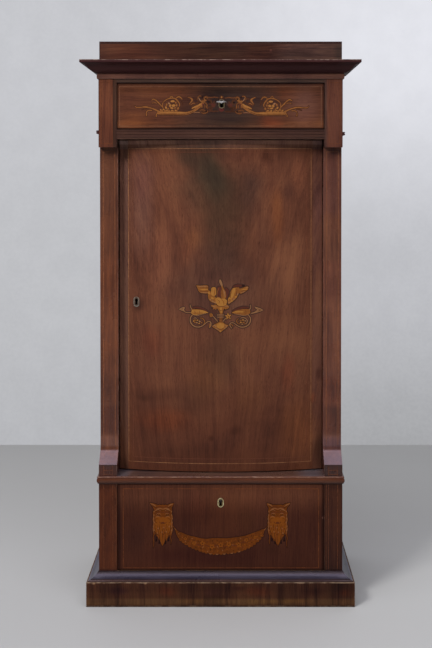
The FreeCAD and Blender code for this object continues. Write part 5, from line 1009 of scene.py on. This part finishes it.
# base drawer: two grotesque masks with a floral swag between them
base_inlay = Inlay("lower_drawer_marquetry", "lower_drawer", TONES["base"], lambda u, v: on_plane(u, v, LOWER_D), lambda x: LOWER_D, halo=2.2, edge_k=1.2)
for q in both(base_inlay, 220.2):
    # a horned, bearded mask of no one in particular: bands of leaf work over a round muzzle
    q.fill("M", [(149.6, 502.8), (152.6, 503.2), (155.4, 503.8), (157.8, 505.2), (159.6, 504.4), (161.2, 505.1), (162.6, 504.4), (164.0, 505.1), (165.6, 504.4), (167.4, 505.0), (169.8, 503.7), (173.9, 503.0),
                 (173.2, 505.4), (171.6, 508.0), (172.3, 510.6), (171.8, 513.6), (172.8, 516.6), (172.1, 519.8), (173.0, 523.0), (172.2, 526.4), (172.9, 529.8), (172.0, 533.6), (171.0, 536.0), (169.7, 534.6), (169.0, 537.4),
                 (167.4, 538.2), (166.6, 541.0), (164.8, 541.4), (163.6, 544.4), (162.3, 546.2), (161.2, 543.6), (160.4, 540.4), (158.6, 539.8), (157.8, 536.8), (156.2, 536.0), (155.4, 533.4), (154.2, 535.4), (153.0, 533.0),
                 (153.6, 529.6), (152.6, 526.4), (153.4, 522.8), (152.4, 519.4), (153.3, 516.2), (152.7, 513.0), (154.0, 509.8), (153.2, 507.6), (151.4, 505.2)], 10, 0.8, smooth=False)
    q.stroke("W", [(150.2, 503.5), (153.0, 504.5), (156.0, 506.4)], [0.5, 1.2, 0.5], 12, 0)
    q.stroke("W", [(173.2, 503.8), (170.6, 504.7), (168.2, 506.4)], [0.5, 1.2, 0.5], 12, 0)
    q.stroke("D", [(152.6, 505.8), (154.6, 507.2), (157.0, 507.8)], [0.3, 0.6, 0.4], 13, 0)
    q.stroke("D", [(171.4, 505.8), (169.6, 507.2), (167.4, 507.8)], [0.3, 0.6, 0.4], 13, 0)
    for v, kind, w in ((506.9, "R", 0.8), (508.6, "W", 1.0), (510.3, "D", 0.5), (512.0, "R", 0.9)):
        q.stroke(kind, [(155.2, v + 2.0), (157.4, v + 0.4), (160.0, v - 0.2), (162.8, v + 0.5), (165.6, v - 0.2), (168.2, v + 0.4), (170.2, v + 2.0)], [0.3, w, w, w * 0.7, w, w, 0.3], 12, 0)
    for u, turn in ((158.6, 12), (167.2, -12)):  # eyes under heavy lids
        q.oval("D", u, 514.9, 1.7, 0.8, 13, 0, turn=turn, count=10)
        q.oval("L", u, 514.6, 0.6, 0.4, 14, 0, count=8)
        q.stroke("W", [(u - 2.2, 514.4), (u, 513.2), (u + 2.2, 514.4)], [0.3, 0.7, 0.3], 14, 0)
    q.fill("L", [(155.2, 518.4), (158.0, 516.6), (160.8, 517.6), (162.9, 516.8), (165.0, 517.6), (167.8, 516.6), (170.6, 518.4), (171.0, 524.0), (170.4, 530.0), (168.4, 534.8), (165.6, 539.4), (162.4, 544.6),
                 (159.4, 539.0), (156.8, 534.4), (154.8, 529.6), (154.6, 523.6)], 11, 0)
    for pts in (((155.2, 541.5), (156.2, 533.6), (157.3, 541.5)), ((158.4, 543.8), (159.4, 536.6), (160.2, 543.8)), ((164.4, 544.6), (165.2, 537.2), (166.4, 543.6)), ((167.6, 541.6), (168.5, 534.4), (169.5, 541.0))):
        q.fill("K", list(pts), 15, 0, smooth=False)
    for u0, u1 in ((155.0, 160.6), (165.0, 170.6)):
        q.stroke("W", [(u0, 510.9), ((u0 + u1) / 2, 509.6), (u1, 510.9)], [0.4, 1.1, 0.4], 12, 0)
        q.stroke("W", [(u0 + 0.4, 517.4), ((u0 + u1) / 2, 516.2), (u1 - 0.4, 517.4)], [0.3, 0.8, 0.3], 13, 0)
    q.oval("L", 162.9, 520.4, 3.4, 2.6, 13, 0, count=14)
    q.ring("D", 162.9, 520.6, 3.9, 3.1, 200, 340, 0.45, 14, 0, 10)
    q.oval("R", 162.9, 522.6, 1.8, 0.7, 14, 0, count=10)
    q.ring("D", 157.2, 520.8, 2.0, 2.2, 60, 260, 0.4, 13, 0, 8)
    q.ring("D", 168.6, 520.8, 2.0, 2.2, 120, -80, 0.4, 13, 0, 8)
    # beard: wavy locks that draw in to a point
    for k in range(9):
        u = 155.4 + 1.85 * k
        far = 545.2 - 1.05 * abs(u - 162.6) ** 1.15
        tip = 162.5 + (u - 162.5) * 0.62
        kind = ("D", "R", "D", "M")[k % 4] if k != 4 else "D"
        q.stroke(kind, [(u, 524.4 + 0.8 * math.sin(k * 1.7)), (u + 0.5, 528.0), (u - 0.4, 531.6), (tip + (u - tip) * 0.4, (531.6 + far) / 2.0 + 1.0), (tip, far)], [0.3, 0.55, 0.5, 0.5, 0.25], 12, 0)
    for k in range(8):
        u = 156.3 + 1.85 * k
        q.oval("W" if k % 3 == 1 else "L", u, 527.2 + 1.6 * math.sin(k * 2.3), 0.7, 0.9, 13, 0, count=8)
        q.oval("W" if k % 3 == 0 else "M", 162.4 + (u - 162.4) * 0.8, 533.0 + 1.4 * math.sin(k * 1.9), 0.6, 0.9, 13, 0, count=8)
    for v in (511.6, 515.0, 518.6, 522.4, 526.4, 530.2):
        q.oval("W", 153.9 + 0.4 * math.sin(v), v, 0.55, 0.9, 12, 0, count=8)
        q.oval("W", 171.8 + 0.4 * math.sin(v * 1.3), v, 0.55, 0.9, 12, 0, count=8)
    # side locks
    q.stroke("W", [(153.6, 514.4), (153.4, 519.0), (153.8, 524.0), (153.2, 529.0), (153.9, 533.4)], [0.3, 0.6, 0.5, 0.6, 0.3], 12, 0)
    q.stroke("W", [(171.8, 514.4), (172.0, 519.0), (171.6, 524.0), (172.2, 529.0), (171.4, 533.4)], [0.3, 0.6, 0.5, 0.6, 0.3], 12, 0)
    q.stroke("M", [(154.2, 533.6), (153.2, 538.0), (153.9, 542.0), (153.3, 547.6)], [1.1, 0.9, 0.8, 0.4], 9, 0.5)
    q.stroke("M", [(171.4, 533.0), (170.6, 537.0), (171.2, 540.6), (170.7, 544.4)], [1.2, 1.0, 0.9, 0.4], 9, 0.5)
    # ribbon from the mask to the swag
    q.stroke("M", [(172.0, 525.4), (174.0, 527.4), (175.8, 529.6), (178.2, 532.8)], [0.8, 0.6, 1.0, 1.5], 9, 0.6)
    q.stroke("W", [(174.6, 528.4), (176.0, 530.0)], [0.6, 0.6], 11, 0)
up = [(175.4, 530.2), (178.4, 531.4), (181.6, 532.4), (185.6, 534.2), (190.9, 535.9), (195.6, 536.8), (200.8, 538.2), (206.2, 538.6), (211.0, 538.2), (216.4, 538.0), (221.0, 538.0), (226.0, 538.2), (231.2, 537.7), (236.4, 537.2), (241.6, 536.2),
      (246.0, 535.4), (250.4, 533.8), (255.4, 532.0), (259.6, 530.4), (262.8, 529.0)]
dn = [(264.4, 529.8), (263.4, 534.4), (260.2, 538.8), (256.0, 543.0), (249.6, 547.2), (242.2, 550.3), (235.0, 552.4), (226.6, 553.4), (217.8, 553.9), (208.8, 553.2), (201.4, 551.2), (195.2, 549.0), (189.4, 546.3),
      (184.4, 543.2), (180.4, 540.1), (177.2, 536.2)]
base_inlay.fill("M", up + dn, 10, 0.9)
line_up, line_dn = curve_through(up, 0.8), curve_through(dn[::-1], 0.8)


def between(s, t):
    a, b = line_up[min(len(line_up) - 1, int(s * (len(line_up) - 1)))], line_dn[min(len(line_dn) - 1, int(s * (len(line_dn) - 1)))]
    return a[0] + (b[0] - a[0]) * t, a[1] + (b[1] - a[1]) * t


def along(kind, t, w, s0, s1, prio, wave=0.0, turns=0, edge=0.0, n=22):
    pts = []
    for i in range(n):
        s = s0 + (s1 - s0) * i / (n - 1)
        pts.append(between(s, t + wave * math.sin(2 * math.pi * turns * i / (n - 1))))
    base_inlay.stroke(kind, pts, w, prio, edge)


for i in range(26):  # small leaf tips along the lower edge, lighter than the field
    s = 0.05 + 0.90 * i / 25.0
    p = between(s, 1.0)
    base_inlay.oval("W" if 8 <= i <= 17 and i % 2 else "M", p[0], p[1] + 0.10, 1.5, 0.95, 9, 0.5, turn=(s - 0.5) * -70, count=9)
along("R", 0.52, [0.3, 0.9, 0.9, 0.3], 0.10, 0.90, 11, 0.08, 6)
for i in range(9):  # blooms along the middle, larger towards the centre
    s = 0.12 + 0.76 * i / 8.0
    r = 1.3 + 1.4 * math.sin(math.pi * s)
    p = between(s, 0.46 + 0.10 * math.sin(i * 2.4))
    base_inlay.flower("L", p[0], p[1], r, petals=5, core="D", prio=14, edge=0, start=90 + 37 * i)
    base_inlay.ring("D", p[0], p[1], r * 1.15, r * 1.0, 20 + 50 * i, 170 + 50 * i, 0.4, 13, 0, 8)
for i in range(96):  # leaves, buds and shadows between the blooms
    s = 0.04 + 0.92 * ((i * 0.618034) % 1.0)
    t = 0.14 + 0.78 * ((i * 0.7548777) % 1.0)
    p = between(s, t)
    room = 0.45 + 0.55 * math.sin(math.pi * s)
    base_inlay.oval(("D", "L", "R", "L", "D", "W")[i % 6], p[0], p[1], (0.8 + 0.5 * math.sin(i * 1.3)) * room + 0.25, 0.42, 12, 0, turn=75 * math.sin(i * 2.7) + (s - 0.5) * -50, count=8)
base_inlay.build()


def strings(name, body, rects, place_depth, kind, curved=False, width=1.5, prouds=0.10):
    """Fine stringing along the lines given in mm."""
    it = Inlay(name, body, {"S": STRING[kind]}, lambda x, z: (x, z), place_depth, proud=prouds if not curved else 0.16, curved=False)
    for line in rects:
        pts = []
        for (xa, za), (xb, zb) in zip(line, line[1:]):
            k = max(1, int(math.hypot(xb - xa, zb - za) / 11.0))
            for j in range(k):
                pts.append((xa + (xb - xa) * j / k, za + (zb - za) * j / k, width))
        pts.append(line[-1] + (width,))
        it.ribbon(pts, "S", 10)
    return it.build()


def frame_lines(x0, x1, z0, z1, w=1.5):
    h = w / 2
    return [[(x0, z0 - h), (x0, z1 + h)], [(x1, z0 - h), (x1, z1 + h)], [(x0 + h, z0), (x1 - h, z0)], [(x0 + h, z1), (x1 - h, z1)]]


strings("top_drawer_stringing", "top_drawer", frame_lines(-323.6, 322, 1529.6, 1655.4), lambda x: FRIEZE_D, "frieze", width=1.3)
strings("lower_drawer_stringing", "lower_drawer", frame_lines(-312.6, 314.4, 111.7, 366.8), lambda x: LOWER_D, "base")
strings("door_stringing", "door", frame_lines(-301.4, 294.4, 436.4, 1458.8), door_depth, "door", curved=True)
strings("door_inner_stringing", "door", frame_lines(-286.4, 279.4, 451.6, 1447.0), door_depth, "soft", curved=True, width=1.2)
for side, nm in ((-1, "left"), (1, "right")):
    xo, xi = side * 380.4, side * 342.6
    x0, x1 = min(xo, xi), max(xo, xi)
    strings("pilaster_" + nm + "_stringing", "carcass", [[(x0, 496), (x0, 1448.8)], [(x1, 496), (x1, 1448.8)], [(x0 + 0.7, 1448), (x1 - 0.7, 1448)]], lambda x: PILASTER_D, "pilaster")
    xo, xi = side * 375.0, side * 346.2
    x0, x1 = min(xo, xi), max(xo, xi)
    strings("lower_stile_" + nm + "_stringing", "carcass", [[(x0, 108), (x0, 380)], [(x1, 108), (x1, 380)], [(side * 338.6, 106), (side * 338.6, 381)]], lambda x: LOWER_D, "stile")
    strings("foot_" + nm + "_stringing", "carcass", [[(x0, 409.5), (x0, 440.5)], [(x1, 409.5), (x1, 440.5)], [(x0 + 0.7, 413.4), (x1 - 0.7, 413.4)], [(x0 + 0.7, 426.3), (x1 - 0.7, 426.3)]], lambda x: LOWER_D, "stile")
    xo, xi = side * 381.4, side * 347.4
    x0, x1 = min(xo, xi), max(xo, xi)
    strings("frieze_block_" + nm + "_stringing", "carcass", frame_lines(x0, x1, 1473, 1668), lambda x: FRIEZE_D, "stile", width=1.1)

# ------------------------------------------------------------------ floor, world, lights, camera
floor_mesh = bpy.data.meshes.new("floor")
fx, fy0, fy1 = 9.0, -9.0, 1.76
floor_mesh.from_pydata([(-fx, fy0, 0), (fx, fy0, 0), (fx, fy1, 0), (-fx, fy1, 0)], [], [(0, 1, 2, 3)])
floor = bpy.data.objects.new("floor", floor_mesh)
scene.collection.objects.link(floor)
fm = Mat("pale_floor")
fxx, fyy, _ = fm.axes()
# The floor is painted lighter towards the back and to the right: painted light, for how the lamps fall on it.
near_far = fm.span(fyy, -1.2, 1.5)
speck = fm.noise(fm.p(), 3.0, 3.0, 0.5)
right = fm.span(fxx, -0.9, 0.9)
near = fm.mix(right, (0.470, 0.472, 0.475), (0.575, 0.577, 0.580))
far = fm.mix(right, (0.585, 0.583, 0.577), (0.765, 0.762, 0.745))
fcol = fm.mix(near_far, near, far)
fcol = fm.mix(fm.span(speck, 0.3, 0.7, 0.0, 0.05), fcol, (0.50, 0.50, 0.50))
fm.set(Base_Color=fcol, Roughness=0.75)
floor_mesh.materials.append(fm.m)

world = bpy.data.worlds.new("studio")
scene.world = world
world.use_nodes = True
wt = world.node_tree
wt.nodes.clear()
wout = wt.nodes.new("ShaderNodeOutputWorld")
wb = wt.nodes.new("ShaderNodeBackground")
wt.links.new(wb.outputs[0], wout.inputs[0])


def wn(kind, **props):
    node = wt.nodes.new(kind)
    for k, v in props.items():
        setattr(node, k, v)
    return node


def wput(sock, v):
    if isinstance(v, bpy.types.NodeSocket):
        wt.links.new(v, sock)
    else:
        sock.default_value = tuple(v) + (1.0,) if isinstance(v, tuple) and len(v) == 3 and len(sock.default_value) == 4 else v


def wspan(v, lo, hi, a=0.0, b=1.0):
    k = wn("ShaderNodeMapRange", interpolation_type="SMOOTHSTEP")
    for i, q in enumerate((v, lo, hi, a, b)):
        wput(k.inputs[i], q)
    return k.outputs[0]


def wmix(f, a, b):
    k = wn("ShaderNodeMix", data_type="RGBA")
    wput(k.inputs["Factor"], f)
    ins = [s for s in k.inputs if s.type == "RGBA"]
    wput(ins[0], a)
    wput(ins[1], b)
    return [s for s in k.outputs if s.type == "RGBA"][0]


wc = wn("ShaderNodeTexCoord")
ws = wn("ShaderNodeSeparateXYZ")
wt.links.new(wc.outputs["Generated"], ws.inputs[0])
wx, wy, wz = ws.outputs
# The backdrop the camera sees is painted: a pale wall, lighter at the top and to the right and darker low on the right
# (painted light and shadow on the wall), with a flat floor grey below the horizon. Other rays see a dim front and a
# bright back instead.
high = wmix(wspan(wx, -0.16, 0.16), srgb(199, 200, 205), srgb(228, 229, 236))
mid = wmix(wspan(wx, -0.16, 0.16), srgb(191, 192, 196), srgb(190, 191, 196))
low = wmix(wspan(wx, -0.16, 0.16), srgb(182, 183, 187), srgb(165, 166, 169))
wall = wmix(wspan(wz, -0.26, -0.10), low, mid)
wall = wmix(wspan(wz, -0.10, 0.12), wall, high)
def wnoise(scale, detail):
    k = wn("ShaderNodeTexNoise")
    wt.links.new(wc.outputs["Generated"], k.inputs["Vector"])
    k.inputs["Scale"].default_value = scale
    k.inputs["Detail"].default_value = detail
    return k.outputs["Fac"]


wall = wmix(wspan(wnoise(330.0, 2.0), 0.30, 0.70, 0.0, 0.030), wall, (1.0, 1.0, 1.0))
wall = wmix(wspan(wnoise(46.0, 3.0), 0.30, 0.70, 0.0, 0.035), wall, (0.0, 0.0, 0.0))
ground = srgb(154, 155, 156)
seen = wmix(wspan(wz, -0.2955, -0.2945), ground, wall)
felt_wall = wmix(wspan(wy, -0.2, 0.5), (0.07, 0.07, 0.075), (0.46, 0.47, 0.49))
felt = wmix(wspan(wz, -0.10, 0.0), (0.12, 0.12, 0.12), felt_wall)
path = wn("ShaderNodeLightPath")
wt.links.new(wmix(path.outputs["Is Camera Ray"], felt, seen), wb.inputs["Color"])


def area_light(name, centre, target, sx, sy, power, color):
    data = bpy.data.lights.new(name, "AREA")
    data.shape = "RECTANGLE"
    data.size, data.size_y = sx, sy
    data.energy = power
    data.color = color
    o = bpy.data.objects.new(name, data)
    scene.collection.objects.link(o)
    o.location = centre
    o.rotation_euler = (Vector(target) - Vector(centre)).to_track_quat("-Z", "Y").to_euler()
    o.visible_camera = False
    return o


key = area_light("key", (-1.85, -2.75, 3.1), (0.0, 0.0, 0.9), 0.9, 0.8, 86.0, (1.0, 0.985, 0.965))
key.visible_glossy = False
sky = area_light("sky", (-0.2, -1.35, 3.5), (0.0, -0.15, 0.4), 4.6, 1.9, 62.0, (0.96, 0.97, 1.0))
sky.visible_glossy = False
card = area_light("card", (0.0, -0.95, 3.6), (0.0, -0.95, 0.0), 5.0, 3.7, 195.0, (0.90, 0.78, 1.0))
card.visible_diffuse = False

cam_data = bpy.data.cameras.new("camera")
cam = bpy.data.objects.new("camera", cam_data)
scene.collection.objects.link(cam)
cam.location = (CAM_X / 1000.0, -(CAM_DIST + D_MID) / 1000.0, CAM_H / 1000.0)
cam.rotation_euler = (math.radians(90.0 - CAM_PITCH), 0.0, 0.0)
cam_data.lens = LENS
cam_data.sensor_width = 36.0
cam_data.sensor_fit = "AUTO"
cam_data.shift_x, cam_data.shift_y = SHIFT_X, SHIFT_Y
cam_data.clip_start, cam_data.clip_end = 0.05, 60.0
scene.camera = cam
scene.view_settings.view_transform = "Standard"
scene.view_settings.look = "None"
scene.view_settings.exposure = 0.0
scene.view_settings.gamma = 1.0
